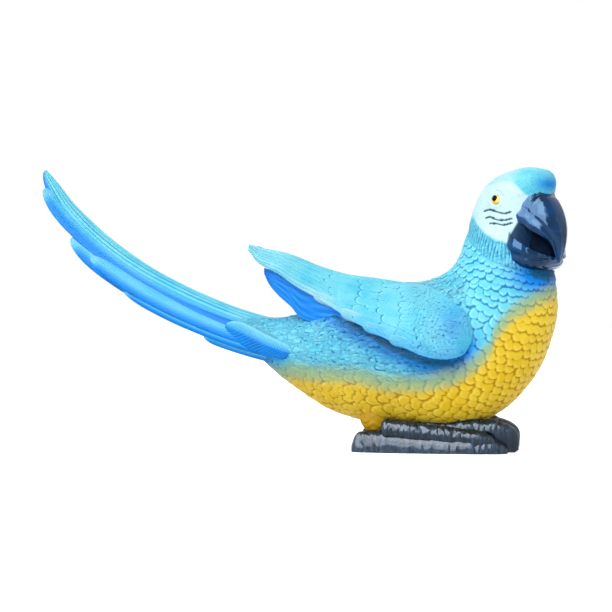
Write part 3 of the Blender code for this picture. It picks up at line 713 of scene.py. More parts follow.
def closed_wing():
    """Rings round a wing: its carved outer face, and a smooth inner face behind it."""
    s_back = np.linspace(1, 0, BACK_STEPS + 2)[1:-1]
    inner = wing_surface(wing_x, s_back)
    on_body = np.clip((wing_x - WING_FREE_FROM_X + 14) / 22.0, 0, 1)[:, None]
    depth = WING_THICKNESS * (1 + 1.4 * on_body) * np.sin(math.pi * s_back)[None, :] ** 0.35
    inner[..., 1] = np.maximum(inner[..., 1] - depth, 0.3 * inner[..., 1])
    return np.concatenate([wing.carved(), inner], axis=1)


def secondary(end_x, stations=70, around=44):
    """A feather that comes out from under the wing's lower edge, with a round end."""
    share = np.linspace(0, 1, stations) ** 1.5
    px = end_x - 1.0 + SECONDARY_LENGTH * share
    _, low_z, _, low_y, _ = wing_edges(px)
    ends = np.sqrt(1 - (1 - np.minimum(1, share * 5.0 + 0.02)) ** 2)
    half = (SECONDARY_WIDTH / 2 * ends)[:, None]
    thick = (SECONDARY_THICKNESS / 2 * ends * (1 - 0.5 * share))[:, None]
    a, c, s = circle(around)
    flat = np.sign(s) * np.abs(s) ** 0.8
    centre_y = (low_y - 0.5 - 4.6 * share)[:, None]
    centre_z = (low_z - 3.0 + 5.4 * share + SECONDARY_WIDTH / 2)[:, None]
    groove = 0.12 * np.cos(a * 9) * (s > 0.1)
    py = centre_y + 0.35 * half * c + (thick + groove) * flat
    return xyz(px[:, None], py, centre_z + half * c)


def inner_blade(stations=70, steps=44):
    """The flat blade of inner flight feathers below the wing's tip."""
    s = (1 - np.cos(math.pi * np.linspace(0, 1, steps + 1))) / 2
    rings = []
    for px, top, low in whole_spline(INNER_WING, stations):
        pz = top + (low - top) * s
        top_z, low_z = (float(v[0]) for v in wing_edges(np.array([px]))[:2])
        beside = np.clip((pz - top_z) / (low_z - top_z), 0, 1)
        py = wing_surface(np.array([px]), beside)[0, :, 1] - INNER_BLADE_GAP
        quills = 0.3 * np.abs(np.sin(s * math.pi * 5 + px / 30)) * np.sin(math.pi * s)
        outer = xyz(px, py + quills, pz)
        thick = INNER_BLADE_THICKNESS * np.sin(math.pi * s) ** 0.5 + quills
        inner = outer - xyz(0, thick, 0)
        rings.append(np.vstack([outer, inner[-2:0:-1]]))
    return np.array(rings)


wing_rings = closed_wing()
blade_rings = inner_blade()
print("points round the wing and round its inner blade:", wing_rings.shape[1], blade_rings.shape[1])

# %% [markdown]
# ## The wings' marks
# The wing is the palest part of the plumage. It has a pale streak along the quills, partly
# lighter paint and partly a painted highlight, and a cloud of deep blue paint on the
# shoulder. Its lower edge and all that lies below it are painted deep blue as painted
# shade. The barbs mark counts radians of a fine wave across each feather, which the paint
# turns into a herringbone, and the plain mark says where to weaken it.

# %% Both wings as closed pieces
SIDES = ((-1, "right"), (1, "left"))


def with_back(values, back):
    """Values on the wing's outer face, and one value for its inner face."""
    return np.hstack([values, np.full((len(wing_x), BACK_STEPS), float(back))])


shoulder_cloud = 0.5 * bell(wx, 93, 9) * bell(wz, 73, 13)
# Painted shade along the wing's lower edge.
lower_edge_shade = np.clip((share - 0.75) / 0.25, 0, 1) * 0.4 * ease(20, 50, wx)
# A pale streak, partly lighter paint and partly a painted highlight, and a paler tip.
pale_streak_and_highlight = 0.5 * bell(wx, 13, 13) * ease(0.66, 0.95, share) + 0.25 * ease(8, -22, wx)
herringbone = ease(80, 62, wx) * (warp * 2 * math.pi * 3 - wx * 1.6)
rows, columns = (np.arange(n) for n in blade_rings.shape[:2])
# The inner face and the inner blade are painted deep blue as painted shade.
wing_parts = [
    (wing_rings, with_back(wing.shading(0.5), 0.5), with_back(lower_edge_shade + shoulder_cloud, 0.8),
     with_back(herringbone, 0), with_back(pale_streak_and_highlight, 0), with_back(0.55 * ease(52, 78, wx), 0),
     with_back(0.4 + 0.5 * ease(2, -18, wx), 1)),
    (blade_rings, 0.5, 0.82, columns[None, :] * 1.1 + rows[:, None] * 0.35, 0.0, 0.0, 0.2)]
for end in SECONDARY_ENDS:
    tip = secondary(end)
    _, c, s = circle(tip.shape[1])
    # Painted shade on the underside of each feather end.
    under = 1 - 0.9 * ease(-0.9, -0.2, s) * ease(-0.98, -0.7, c)
    # Pale feather ends, partly lighter paint and partly a painted highlight.
    pale_end_and_highlight = 0.4 * float(ease(46, 26, end)) * ease(17, 6, tip[..., 0] - end)
    # Their relief of 0.75 paints the feather ends paler, as painted highlight.
    wing_parts.append(
        (tip, 0.75, 0.05 + 0.9 * under, tip[..., 0] * 3.5 + np.abs(c) * 9, pale_end_and_highlight, 0.0, 0.3))
wing_marks = marks_of(wing_parts, ("relief", "deep_paint_and_shade", "barbs", "white_paint_and_highlight", "down", "plain"))
wing_pieces = [
    make_piece("wing_" + label, [part[0] * (1, way, 1) for part in wing_parts], wing_marks)
    for way, label in SIDES]

# %% [markdown]
# ## Tail
# The tail is a bundle of long blades. The longest pair makes a roof along the top, and
# shorter ones step out below it on each side, each with a rounded end. All of them
# follow one ridge line, so each blade is drawn as outlines, sideways and down, in a
# frame that travels along that line.

# %% The tail's ridge, and the frame along it
TAIL_RIDGE = np.array([
    (21.0, 74.0), (-1.5, 74.5), (-14.5, 76.0), (-40.0, 83.8), (-68.5, 95.8),
    (-94.5, 110.2), (-116.5, 126.3), (-135.0, 143.8), (-145.4, 156.8), (-153.6, 166.2),
])
TAIL_THICKNESS, ROOF_DROP, ROOF_HALF_WIDTH = 3.4, 11.0, 9.5
ridge = whole_spline(TAIL_RIDGE, 300)
ridge_length = np.cumsum(np.linalg.norm(np.diff(ridge, axis=0), axis=1))
ridge_length = np.concatenate([[0], ridge_length])


def in_tail(shares, outlines):
    """Outlines of (sideways, downward) places, set square to the ridge at each share."""
    at = np.asarray(shares) * ridge_length[-1]
    place, after, before = (
        np.stack([np.interp(at + d, ridge_length, ridge[:, k]) for k in (0, 1)], axis=1)
        for d in (0, 1, -1))
    tangent = (after - before) / np.linalg.norm(after - before, axis=1)[:, None]
    drop = outlines[..., 1]
    return xyz(place[:, 0:1] - tangent[:, 1:2] * drop, outlines[..., 0],
               place[:, 1:2] + tangent[:, 0:1] * drop)


print("tail ridge, mm:", round(float(ridge_length[-1])))

# %% [markdown]
# ## The roof of the tail
# The top blade is a vault with a shaft along its middle and grooves beside it. The
# grooves wander a little, so they look pulled by hand. A thinner curve closes it below.


# %% The longest pair of feathers
def top_blade(stations=270, steps=104, under=14):
    """The longest pair of feathers as one roof, with its marks."""
    share = np.linspace(0.04, 0.997, stations)[:, None] ** 0.97
    fall = 0.985 * np.clip((share - 0.74) / 0.257, 0, 1) ** 2.4
    taper = np.sqrt(np.maximum(1 - fall, 0.012))
    s = np.linspace(-1, 1, steps + 1)[None, :]
    lane = s * 6.5 + 0.22 * np.sin(share * 11) * (1 - s * s) + 0.5
    groove = bell(lane - np.floor(lane), 0.5, 0.16)
    shaft = bell(s, 0, 0.05)
    carve = (0.42 * (1 - groove) + 0.35 * shaft) * taper
    t = np.linspace(1, -1, under + 2)[1:-1][None, :]
    roof, ceiling = (
        ROOF_DROP * (1 - np.cos(v * math.pi / 2)) ** 0.85 * taper for v in (s, t))
    wide, inside = (ROOF_HALF_WIDTH * k * np.sin(v * math.pi / 2) * taper
                    for k, v in ((1, s), (0.94, t)))
    outer = np.stack([wide * (1 + 0.02 * carve), roof - carve + 0.3], axis=-1)
    ceiling = ceiling + TAIL_THICKNESS * (0.35 + 0.65 * taper) * (1 - np.abs(t) ** 3) + 0.2
    outlines = np.concatenate([outer, np.stack([inside, ceiling], axis=-1)], axis=1)
    rest = np.ones((stations, under))
    # Painted highlight on the roof's top and shaft, painted shade in its grooves and underside.
    relief_with_highlight = np.hstack([0.66 - 0.5 * groove + 0.3 * shaft, 0.4 * rest])
    # Painted shade on the roof's lower sides and on its underside.
    lower_side_shade = np.hstack([0.8 * ease(0.5, 0.9, np.abs(s)) + 0 * taper, 0.75 * rest])
    barb = np.hstack([s * 26 + share * 9, 0 * rest])
    return in_tail(share[:, 0], outlines), relief_with_highlight, lower_side_shade, barb, 0.3


tail_parts = [top_blade()]
print("points round the roof:", tail_parts[0][0].shape[1])

# %% [markdown]
# ## Side feathers
# Each side feather is a flat oval section with a shaft, tucked in at its root and round
# at its end. It is given by how far it reaches along the tail, and by the upper and
# lower edge of its section.

# %% The side feathers
TAIL_SIDE_FEATHERS = (
    (0.950, (3.0, 2.6), (12.0, 12.6)), (0.790, (9.0, 8.0), (13.0, 20.0)),
    (0.715, (11.0, 9.5), (14.6, 18.6)), (0.590, (12.8, 16.0), (13.0, 21.8)),
    (0.340, (10.5, 19.0), (8.5, 24.8)),
)


def side_blade(end, upper, lower, way, stations=110, steps=48):
    """A long side feather that reaches the share end of the ridge, with its marks."""
    upper, lower = np.array(upper), np.array(lower)
    along = lower - upper
    width = np.linalg.norm(along)
    across = np.array([along[1], -along[0]]) / width
    share = np.linspace(0, 1, stations)[:, None] ** 0.85
    ends = np.sqrt(1 - 0.97 * np.clip((share - 0.84) / 0.16, 0, 1) ** 2.2)
    root = 0.72 + 0.28 * ease(0, 0.16, share)
    _, c, s = circle(steps)
    shaft = 0.3 * bell(c, -0.1, 0.09) * ease(0.25, 0.6, np.abs(s))
    thick = (TAIL_THICKNESS / 2 + shaft) * ends
    outline = (upper + lower) / 2 + (c * ends / 2)[..., None] * along
    outline = outline + (s * thick)[..., None] * across
    outline = outline * np.stack([root, root * 0 + 1], axis=-1) * (way, 1)
    # Painted highlight on the shaft, along the upper edge and at the round end.
    relief_with_highlight = 0.5 + 0.8 * shaft + 0.4 * ease(-0.7, -0.97, c) + 0.4 * ease(0.94, 0.99, share)
    # Painted shade on the lower half, short of the round end.
    lower_side_shade = 0.26 + 0.64 * ease(-0.3, 0.8, c) * ease(1.0, 0.92, share)
    barb = 3.2 * np.abs(c + 0.1) * width / 2 - 1.6 * (share * end * ridge_length[-1])
    return in_tail(0.05 + (end - 0.05) * share[:, 0], outline), relief_with_highlight, lower_side_shade, barb, 0.75


tail_parts += [side_blade(*feather, way) for feather in TAIL_SIDE_FEATHERS for way in (-1, 1)]
print("side feathers:", len(tail_parts) - 1)

# %% [markdown]
# ## Coverts at the tail's root
# One short barbed feather lies over the root on each side, to hide where the blades
# leave the rump. It swells from a point and lies flat on the side feathers, so it gets
# its own places along x instead of the tail's frame.

# %% The coverts over the root
COVERT_X = (-7, 6, 18, 31, 41)
COVERT_HALF = (1.0, 4.6, 6.0, 6.2, 5.4)
COVERT_Z = (54.6, 57.2, 61.2, 67.6, 72.2)
COVERT_SIDE = (-7, 0, 8, 18, 30, 44), (17.0, 19.6, 18.7, 15.7, 14.5, 13.9)


def root_covert(way, stations=150, steps=40):
    """The barbed feather that lies over the root of the tail on one side."""
    share = np.linspace(0, 1, stations)[:, None] ** 0.85
    ends = np.sqrt(1 - 0.97 * np.clip((share - 0.78) / 0.22, 0, 1) ** 2.0)
    _, c, s = circle(steps)
    middle = 7.0 - 48.0 * share
    half = np.interp(-middle, COVERT_X, COVERT_HALF)
    px = middle - 1.6 * c * ends
    pz = np.interp(-middle, COVERT_X, COVERT_Z) - half * c * ends
    py = np.interp(-px, *COVERT_SIDE) + (1.3 * s + 0.4 * bell(c, 0, 0.12) * (s > 0)) * ends
    # Painted highlight along the upper edge.
    relief_with_highlight = 0.5 + 0.45 * ease(-0.6, -0.95, c)
    # Painted shade on the lower half.
    lower_side_shade = (0.95 - 0.8 * ease(0.3, -0.75, c)) * (1 - 0.12 * share)
    return xyz(px, way * py, pz), relief_with_highlight, lower_side_shade, 18.0 * np.abs(c) - 140.0 * share, 0.0


tail_parts += [root_covert(way) for way in (-1, 1)]
print("tail feathers:", len(tail_parts))

# %% [markdown]
# ## The tail's core
# Between the blades lies the mass of resin that holds them together. It is a plain
# tapering prism that stays hidden, painted in the deepest blue as painted shade wherever
# it shows in a gap.

# %% Core, and the tail's two pieces
CORE_HALF, CORE_DEPTH = 13.5, 19.0
core = np.array([
    (0, 2.0), (CORE_HALF * 0.6, 6.0), (CORE_HALF, 11.0), (CORE_HALF, CORE_DEPTH * 0.9),
    (CORE_HALF * 0.5, CORE_DEPTH * 0.98)])
core = np.vstack([core, (0, CORE_DEPTH * 0.86), (core * (-1, 1))[:0:-1]])
core_at = np.linspace(0, 1, 60)
core = in_tail(0.72 * core_at + 0.02, core[None] * (1 - 0.55 * core_at**3)[:, None, None])
# The core's low relief and deep marks paint it dark, as painted shade in the gaps.
tail_parts.append((core, 0.4, 0.9, 0.0, 1.0))
tail_pieces = [
    make_piece(name, [part[0] for part in parts],
               marks_of(parts, ("relief", "deep_paint_and_shade", "barbs", "plain")))
    for name, parts in (("tail_top", tail_parts[:1]), ("tail_sides", tail_parts[1:]))]

# %% [markdown]
# ## Beak
# The upper beak is a hooked shell that overlaps the lower one, with a wrinkled ridge of
# skin and two nostrils where it meets the forehead. Both halves are lofts through
# arches. A row gives the top and the edge of an arch as x and z, and half its width.
# Small heights on the arches make the rolled rim and the edges of the ridge.

# %% Tables of the beak, and functions for its arches
UPPER_BEAK = np.array([
    (12.0, 149.5, 6.0, 132.0, 11.5), (21.0, 152.0, 13.5, 132.0, 14.4),
    (25.5, 150.6, 18.5, 130.6, 14.0), (27.0, 147.6, 20.8, 129.0, 13.3),
    (30.6, 144.2, 23.8, 126.8, 12.8), (34.6, 137.5, 28.0, 124.2, 10.8),
    (37.2, 129.0, 31.0, 121.4, 8.2), (37.6, 120.5, 32.9, 117.8, 5.6),
    (36.6, 113.5, 33.8, 113.4, 3.4), (34.6, 108.0, 34.0, 108.5, 1.0),
])
LOWER_BEAK = np.array([
    (-1.0, 109.5, 2.0, 127.5, 12.0), (6.0, 105.0, 9.5, 127.5, 15.5),
    (15.0, 103.0, 17.5, 122.5, 21.0), (23.0, 103.5, 24.5, 117.0, 18.0),
    (29.0, 106.0, 29.6, 113.2, 11.5), (31.8, 109.5, 31.8, 112.0, 4.6),
])
MOUTH = np.array([
    (8.0, 136.0, 6.0, 112.5, 10.0), (19.0, 132.0, 15.0, 109.5, 11.6),
    (25.0, 127.0, 22.0, 109.0, 9.8), (28.3, 121.5, 26.8, 109.5, 7.0),
    (31.0, 116.0, 30.4, 111.5, 3.6),
])


def beak_shell(table, bulge, power, stations, steps=96, under=30):
    """Rings of a beak half: an arch of so many steps, closed by a bulging floor."""
    a = np.linspace(0, math.pi, steps + 1)
    c, s = np.cos(a), np.sin(a)
    q = np.linspace(-1, 1, under + 2)[1:-1]
    rings = []
    for row in whole_spline(table, stations):
        top, edge, half = row[0:2], row[2:4], row[4]
        arch = edge + (top - edge) * (s**power)[:, None]
        low = edge + (top - edge) * (bulge * (1 - q * q))[:, None]
        plane = np.vstack([arch, low])
        side = np.concatenate([half * np.sign(c) * np.abs(c) ** power, half * q])
        rings.append(xyz(plane[:, 0] + NECK_AXIS_X, side, plane[:, 1]))
    return np.array(rings), a[None, :], np.linspace(0, 1, stations)[:, None]


def raise_arch(rings, height):
    """Moves the points of the arches outwards by a height for each of them."""
    bed = Bed(rings, wraps=True)
    bed.face_away_from(rings.mean(axis=1, keepdims=True))
    bed.height[:, : height.shape[1]] = height
    return bed.carved()


print("sections of the two halves:", len(UPPER_BEAK), len(LOWER_BEAK))

# %% [markdown]
# ## Upper beak
# The rim is a rolled edge with a furrow above it, and the ridge along the top has two
# fine edges. Near the forehead these give way to the cere, a pad of wrinkled skin with
# a nostril on each side, whose lip is raised round a deep pit.

# %% Upper beak with rim, ridge, wrinkles and nostrils
upper, arch, along = beak_shell(UPPER_BEAK, 0.12, 0.86, 170)
from_rim = np.minimum(arch, math.pi - arch)
from_ridge = np.abs(arch - math.pi / 2)
rim = 0.75 * bell(from_rim, 0.12, 0.09) - 0.4 * bell(from_rim, 0.32, 0.08)
ridge_edge = 0.12 * bell(from_ridge, 0.33, 0.07) - 0.15 * bell(from_ridge, 0, 0.2)
cere = ease(0.30, 0.22, along)
wrinkle = 0.28 * np.sin(along * 95 + 2.0 * np.sin(from_ridge * 6))
wrinkle = wrinkle + 0.2 * np.sin(from_ridge * 16 + along * 30)
nostril = bell(from_ridge, 0.52, 0.15) * bell(along, 0.235, 0.022)
lip = bell(from_ridge, 0.52, 0.27) * bell(along, 0.225, 0.045)
beak_height = (rim + ridge_edge * (1 - cere)) * ease(1.0, 0.9, along) * ease(0.02, 0.12, along)
beak_height = beak_height + cere * wrinkle * ease(1.1, 0.7, from_ridge) + 0.9 * lip - 1.5 * nostril
upper_beak = make_piece("upper_beak", [turn_head(raise_arch(upper, beak_height))])

# %% [markdown]
# ## Lower beak and mouth
# The lower beak is a bowl, so its table has the arch's top below and its edge above. It
# has its own rim, and faint rings of growth. The mouth between the halves is a plain
# dark body set back from both rims.

# %% Lower beak and the mouth between the halves
lower, arch, along = beak_shell(LOWER_BEAK, 0.25, 0.62, 110)
from_rim = np.minimum(arch, math.pi - arch)
rim = 0.8 * bell(from_rim, 0.10, 0.09) - 0.5 * bell(from_rim, 0.3, 0.09)
growth = 0.10 * np.sin(along * 60 + 3 * from_rim)
lower = raise_arch(lower, (rim + growth) * ease(1.0, 0.9, along))
mouth, _, _ = beak_shell(MOUTH, 0.0, 0.9, 60, steps=48, under=16)
lower_beak = make_piece("lower_beak", [turn_head(lower)])
mouth_piece = make_piece("mouth", [turn_head(mouth)])

# %% [markdown]
# ## Eyes
# Each eye is a low glossy dome with a yellow iris and a black pupil that looks back and
# up. The pupil is its own small dome, so its edge stays crisp from any side. A skirt
# runs down from each dome into the head, and no gap shows under it.


# %% Iris and pupil domes on both sides of the head
def dome(centre, normal, along, radius, bulge, sink, wide, around=48, levels=14):
    """Rings of a low dome, from a sunk skirt up to the top."""
    _, c, s = circle(around)
    ring = c.T * along + wide * s.T * np.cross(normal, along)
    rings = [centre - normal * sink + ring * radius]
    for a in np.linspace(0, 1.54, levels):
        rings.append(centre + normal * bulge * math.sin(a) + ring * radius * math.cos(a))
    return np.array(rings)


def eye_frame(way):
    """Middle, outward direction and upward direction of an eye."""
    angle = way * EYE_ANGLE
    middle = body_points(EYE_T, angle)
    along = body_points(EYE_T + 0.3, angle) - middle
    normal = np.cross(along, body_points(EYE_T, angle + 0.1) - middle)
    normal /= np.linalg.norm(normal)
    normal *= np.sign(normal @ (middle - body_points(EYE_T, -angle)))
    along = along - normal * (along @ normal)
    return middle, normal, along / np.linalg.norm(along)


irises, pupils = [], []
for way in (-1, 1):
    middle, normal, upward = eye_frame(way)
    forward = np.cross(upward, normal) * -way
    irises.append(dome(middle, normal, upward, 2.7, 1.15, 2.5, wide=1.3))
    gaze = middle + normal * 1.1 + upward * 0.55 - forward * 0.6
    tilt = normal * 1.0 + upward * 0.2 - forward * 0.22
    tilt /= np.linalg.norm(tilt)
    pupils.append(dome(gaze, tilt, upward, 1.7, 0.45, 0.9, wide=1.15, around=32, levels=8))
iris = make_piece("eye_irises", irises)
pupil = make_piece("eye_pupils", pupils)

# %% [markdown]
# ## Feet
# The bird crouches, so only its feet show: a low sole with a thick toe lying on it, a
# second toe beside that, and a curved claw at the end of each. Rings of small scutes run
# across the toes. Everything is cut level underneath, where the figurine stands.

# %% Sole and toes
SOLE = np.array([
    (28.0, 4.0, 2.4), (31.6, 10.6, 5.4), (41.0, 11.5, 7.2), (50.0, 12.0, 8.8), (70.0, 10.5, 9.6),
    (90.0, 9.0, 10.0), (103.0, 8.4, 9.4), (112.0, 6.4, 7.6), (117.0, 2.6, 4.6),
])
FOOT_SPREAD, FOOT_AHEAD = 40.0, 6.0
TOES = (
    (-4.6, 5.4, (45.0, 13.8), (100.0, 8.0)),
    (5.2, 6.9, (50.0, 13.4), (113.0, 12.6)),
)


def level(rings):
    """Rings cut level at the ground."""
    rings[..., 2] = np.maximum(rings[..., 2], 0.0)
    return rings


def scutes(px, a, pitch, depth=0.6):
    """Heights of scutes: bands across the toe, broken up a little round it."""
    lane = px / pitch + 0.22 * np.sin(a * 3 + px * 0.4) + 0.3 * np.sin(px * 0.31)
    band = 1 - np.abs(2 * (lane - np.floor(lane)) - 1) ** 4
    fold = 0.25 * np.sin(a * 7 + 2 * np.sin(px * 0.5)) * np.sin(px * 1.1)
    return depth * (band + fold) * (0.35 + 0.65 * ease(-0.4, 0.0, np.sin(a)))


def sole(stations=100, steps=64):
    """The low block that the toes lie on, wrinkled on its upper side."""
    px, high, half = (column[:, None] for column in whole_spline(SOLE, stations).T)
    a, c, s = circle(steps)
    wrinkles = scutes(px, a, 5.4)
    py = (half + wrinkles * (s > 0)) * np.sign(c) * np.abs(c) ** 0.7
    pz = np.where(s > 0, (high + wrinkles) * np.abs(s) ** 0.7, -0.2 * high * np.abs(s))
    return level(xyz(px, py, pz))


def toe(offset, radius, root, knuckle, stations=90, steps=48):
    """A toe from its root to its last knuckle, as x and z, with three joints."""
    share = np.linspace(0, 1, stations)[:, None]
    px = root[0] + (knuckle[0] - root[0]) * share
    pz = root[1] + (knuckle[1] - root[1]) * share
    ends = np.sqrt(1 - 0.97 * np.clip(np.abs(2 * share - 1) * 7 - 6, 0, 1) ** 2)
    r = radius * (1 - 0.12 * share) * (1 + 0.05 * np.cos(share * math.pi * 6)) * ends
    a, c, s = circle(steps)
    r = r + scutes(px, a, 4.6) * ends
    return level(xyz(px, offset + r * c, pz + r * s))


print("toes on each foot:", len(TOES))

# %% [markdown]
# ## Claws and tufts
# A claw is a cone bent down over the knuckle, with a keel along its back. Above each
# foot the yellow feathers of the thigh bulge out in a tuft, an egg with fine furrows.

# %% Claws, tufts and both feet
CLAW_REACH, CLAW_RADIUS, CLAW_ROOT, CLAW_ARCH = 9.0, 5.6, 3.0, 0.45
THIGH_HALF, THIGH_X, THIGH_Y, THIGH_Z = (8.4, 6.0, 8.6), 46.5, 16.0, 20.0


def claw(offset, knuckle, stations=60, steps=44):
    """A claw that leaves the knuckle forwards and bends down to the ground."""
    share = np.linspace(0, 1, stations)[:, None]
    px = knuckle[0] - CLAW_ROOT + (CLAW_REACH + CLAW_ROOT) * np.sin(share * math.pi / 2)
    pz = 1.0 + (knuckle[1] - 1.0) * np.maximum(np.cos(share * math.pi / 2), 0) ** CLAW_ARCH
    a, c, s = circle(steps)
    r = CLAW_RADIUS * (1 - 0.8 * share**1.5)
    r = r + 0.3 * bell(a, math.pi / 2, 0.3) * r / CLAW_RADIUS
    lift = np.where(s > 0, r * s * (1 - 0.5 * share), pz * s)
    return level(xyz(px + r * s * share, offset + r * c, pz + lift))


def tuft(way, stations=40, steps=60):
    """The tuft of thigh feathers over one foot."""
    b = (math.pi * (np.arange(stations) + 0.35) / (stations - 0.3))[:, None]
    a, c, s = circle(steps)
    grain = 1 + 0.05 * np.sin(a * 12 + 3 * np.sin(b * 5))
    out, high = (half * np.sin(b) * v * grain for half, v in zip(THIGH_HALF[1:], (c, s)))
    return xyz(THIGH_X - THIGH_HALF[0] * np.cos(b), way * THIGH_Y + out, THIGH_Z + high)


foot_pieces = []
for way, label in SIDES:
    place = np.array([FOOT_AHEAD, way * FOOT_SPREAD / 2, 0.0])
    rings = [sole()]
    for offset, radius, root, knuckle in TOES:
        rings += [toe(offset, radius, root, knuckle), claw(offset, knuckle)]
    foot_pieces.append(make_piece("foot_" + label, [r * (1, -way, 1) + place for r in rings]))
# The tufts' low relief mark paints them darker all over, as painted shade under the belly.
tuft_piece = make_piece("thigh_tufts", [tuft(way) for way in (-1, 1)], yellow=1.0, relief=0.24)

# %% [markdown]
# ## Shader maths
# A material is a small program of nodes. Writing it as Python expressions keeps it
# readable: a Wire holds one socket, and adding or multiplying wires adds the nodes.


# %% Class Wire: expressions that become nodes
class Wire:
    """A socket in a node tree. Arithmetic on wires adds Math nodes."""

    def __init__(self, tree, socket):
        self.tree, self.socket = tree, socket

    def node(self, kind, settings=None, outlet=0, **sockets):
        """Adds a node: its settings first, then values or wires for its sockets."""
        return add_node(self.tree, kind, settings, outlet, **sockets)

    def math(self, operation, *others):
        values = {"_%d" % n: v for n, v in enumerate((self, *others))}
        return self.node("ShaderNodeMath", {"operation": operation}, **values)

    def __add__(self, other):
        return self.math("ADD", other)

    __radd__ = __add__

    def __mul__(self, other):
        return self.math("MULTIPLY", other)

    __rmul__ = __mul__

    def __sub__(self, other):
        return self.math("SUBTRACT", other)

    def __rsub__(self, other):
        return self * -1.0 + other

    def clipped(self):
        """The wire's value, kept between 0 and 1."""
        return self.math("MAXIMUM", 0.0).math("MINIMUM", 1.0)

    def between(self, low, high):
        """0 below low, 1 above high, and soft between them."""
        settings = {"interpolation_type": "SMOOTHSTEP"}
        return self.node("ShaderNodeMapRange", settings, Value=self, From_Min=low, From_Max=high)

    def blend(self, first, second):
        """The first colour where this wire is 0 and the second where it is 1."""
        settings = {"data_type": "RGBA"}
        return self.node("ShaderNodeMix", settings, outlet=2, _0=self, _6=first, _7=second)


def add_node(tree, kind, settings=None, outlet=0, **sockets):
    """A node's outlet as a Wire. Sockets go by name, or as _0, _1 and so on by place."""
    node = tree.nodes.new(kind)
    for key, value in (settings or {}).items():
        setattr(node, key, value)
    for key, value in sockets.items():
        place = int(key[1:]) if key[0] == "_" else key.replace("_", " ")
        if isinstance(value, Wire):
            tree.links.new(value.socket, node.inputs[place])
        else:
            node.inputs[place].default_value = value
    return Wire(tree, node.outputs[outlet])


print("operators on wires: + - *")

# %% [markdown]
# ## Helpers for materials
# Colours are written as they look on a screen, from 0 to 255. A socket that is the same
# all over is set directly, and only what changes over the surface is wired.


# %% Colours, new materials, marks, noise and bump
def paint(red, green, blue):
    """A colour as seen on a screen, in 0 to 255, turned into the shader's linear values."""
    linear = []
    for part in (red, green, blue):
        v = part / 255
        linear.append(v / 12.92 if v <= 0.04045 else ((v + 0.055) / 1.055) ** 2.4)
    return (*linear, 1.0)


def new_material(name, pieces, **constants):
    """A material on pieces, with its tree and shader, whose even sockets are set."""
    material = bpy.data.materials.new(name)
    material.use_nodes = True
    for piece in pieces:
        piece.data.materials.append(material)
    shader = material.node_tree.nodes["Principled BSDF"]
    for key, value in constants.items():
        shader.inputs[key.replace("_", " ")].default_value = value
    return material.node_tree, shader


def wire_up(shader, **wires):
    """Feeds the shader's sockets, by their names, from wires."""
    for key, wire in wires.items():
        wire.tree.links.new(wire.socket, shader.inputs[key.replace("_", " ")])


def mark(tree, name):
    """A named value that the mesh carries at its points."""
    return add_node(tree, "ShaderNodeAttribute", {"attribute_name": name}, outlet=2)


def noise(tree, scale, detail=3.0, roughness=0.55, stretch=(1, 1, 1), **more):
    """Cloudy values round 0.5, in the object's own space, so many to a metre."""
    place = add_node(tree, "ShaderNodeTexCoord", outlet=3)
    place = place.node("ShaderNodeVectorMath", {"operation": "MULTIPLY"}, _0=place, _1=stretch)
    return add_node(tree, "ShaderNodeTexNoise", Vector=place, Scale=scale, Detail=detail,
                    Roughness=roughness, **more)


def bump(height, distance, strength):
    """A normal that is tilted as if the surface had the wire's heights."""
    return height.node("ShaderNodeBump", Height=height, Distance=distance, Strength=strength)


print("white in the shader's linear values:", paint(255, 255, 255))

# %% [markdown]
# ## Paint
# The plumage is a light cyan, with a deeper blue painted into the grooves and under the
# wings as painted shade. All of it is under a thin satin lacquer. The cut wire says how
# deep in a groove a point lies: it adds the carved relief, the barbs, and curly strokes of
# down, which are the places where a stretched noise crosses its middle value.

# %% The plumage material: grooves, barbs and strokes
tree, shader = new_material(
    "painted_plumage", (*body_pieces, *wing_pieces, *tail_pieces, tuft_piece),
    Coat_Roughness=0.25, Coat_IOR=1.4, Specular_IOR_Level=0.1, Specular_Tint=(0.4, 0.8, 1.0, 1.0))
cloud = noise(tree, 60.0)
speck = noise(tree, 420.0, 4.0, 0.6)
relief, deep_paint_and_shade, down, yellow_share = (
    mark(tree, name) for name in ("relief", "deep_paint_and_shade", "down", "yellow"))
barbs = mark(tree, "barbs").math("SINE") * (1 - mark(tree, "plain"))
curl = noise(tree, 330.0, 2.5, 0.6, stretch=(0.42, 1, 1), Distortion=0.9) - 0.5
stroke = ((0.1 - curl.math("ABSOLUTE")) * 10.0).clipped() * down
# The cut wire paints grooves darker below, as painted shade.
cut = (0.5 - relief).between(0.02, 0.34) + (speck - 0.5) * 0.3 - barbs * 0.22 + stroke * 0.36
cut = cut.clipped()
raised = relief.between(0.52, 0.9)
print("nodes so far:", len(tree.nodes))

# %% [markdown]
# ## Blues
# The base coat is a cloudy mix of two light blues. Raised edges are painted paler as a
# painted highlight, and grooves darker as painted shade. A deeper blue goes where the
# airbrush went over and where painted shade lies; it is darker still, as painted shade, in
# the middle of each spot, and turns to teal on the flank.

# %% The blues of the plumage
SKY = paint(84, 200, 228), paint(122, 219, 233)
SKY_HIGHLIGHT, SKY_GROOVE_SHADE = paint(156, 231, 238), paint(8, 112, 184)
# The deeper blue for the forehead and shoulder paint, and for the painted shade.
DEEP_BLUE_AND_SHADE = paint(8, 132, 232), paint(2, 84, 170)
TEAL = paint(28, 130, 206), paint(10, 82, 142)
DARKEST_SHADE = paint(8, 84, 122)
sprayed_and_shaded = (deep_paint_and_shade + (cloud - 0.5) * 0.25).clipped()
# Raised edges are painted paler as painted highlight, and grooves darker as painted shade.
light_blue = (raised * 0.6).blend(cloud.between(0.3, 0.7).blend(*SKY), SKY_HIGHLIGHT)
light_blue = (cut * 0.85).blend(light_blue, SKY_GROOVE_SHADE)
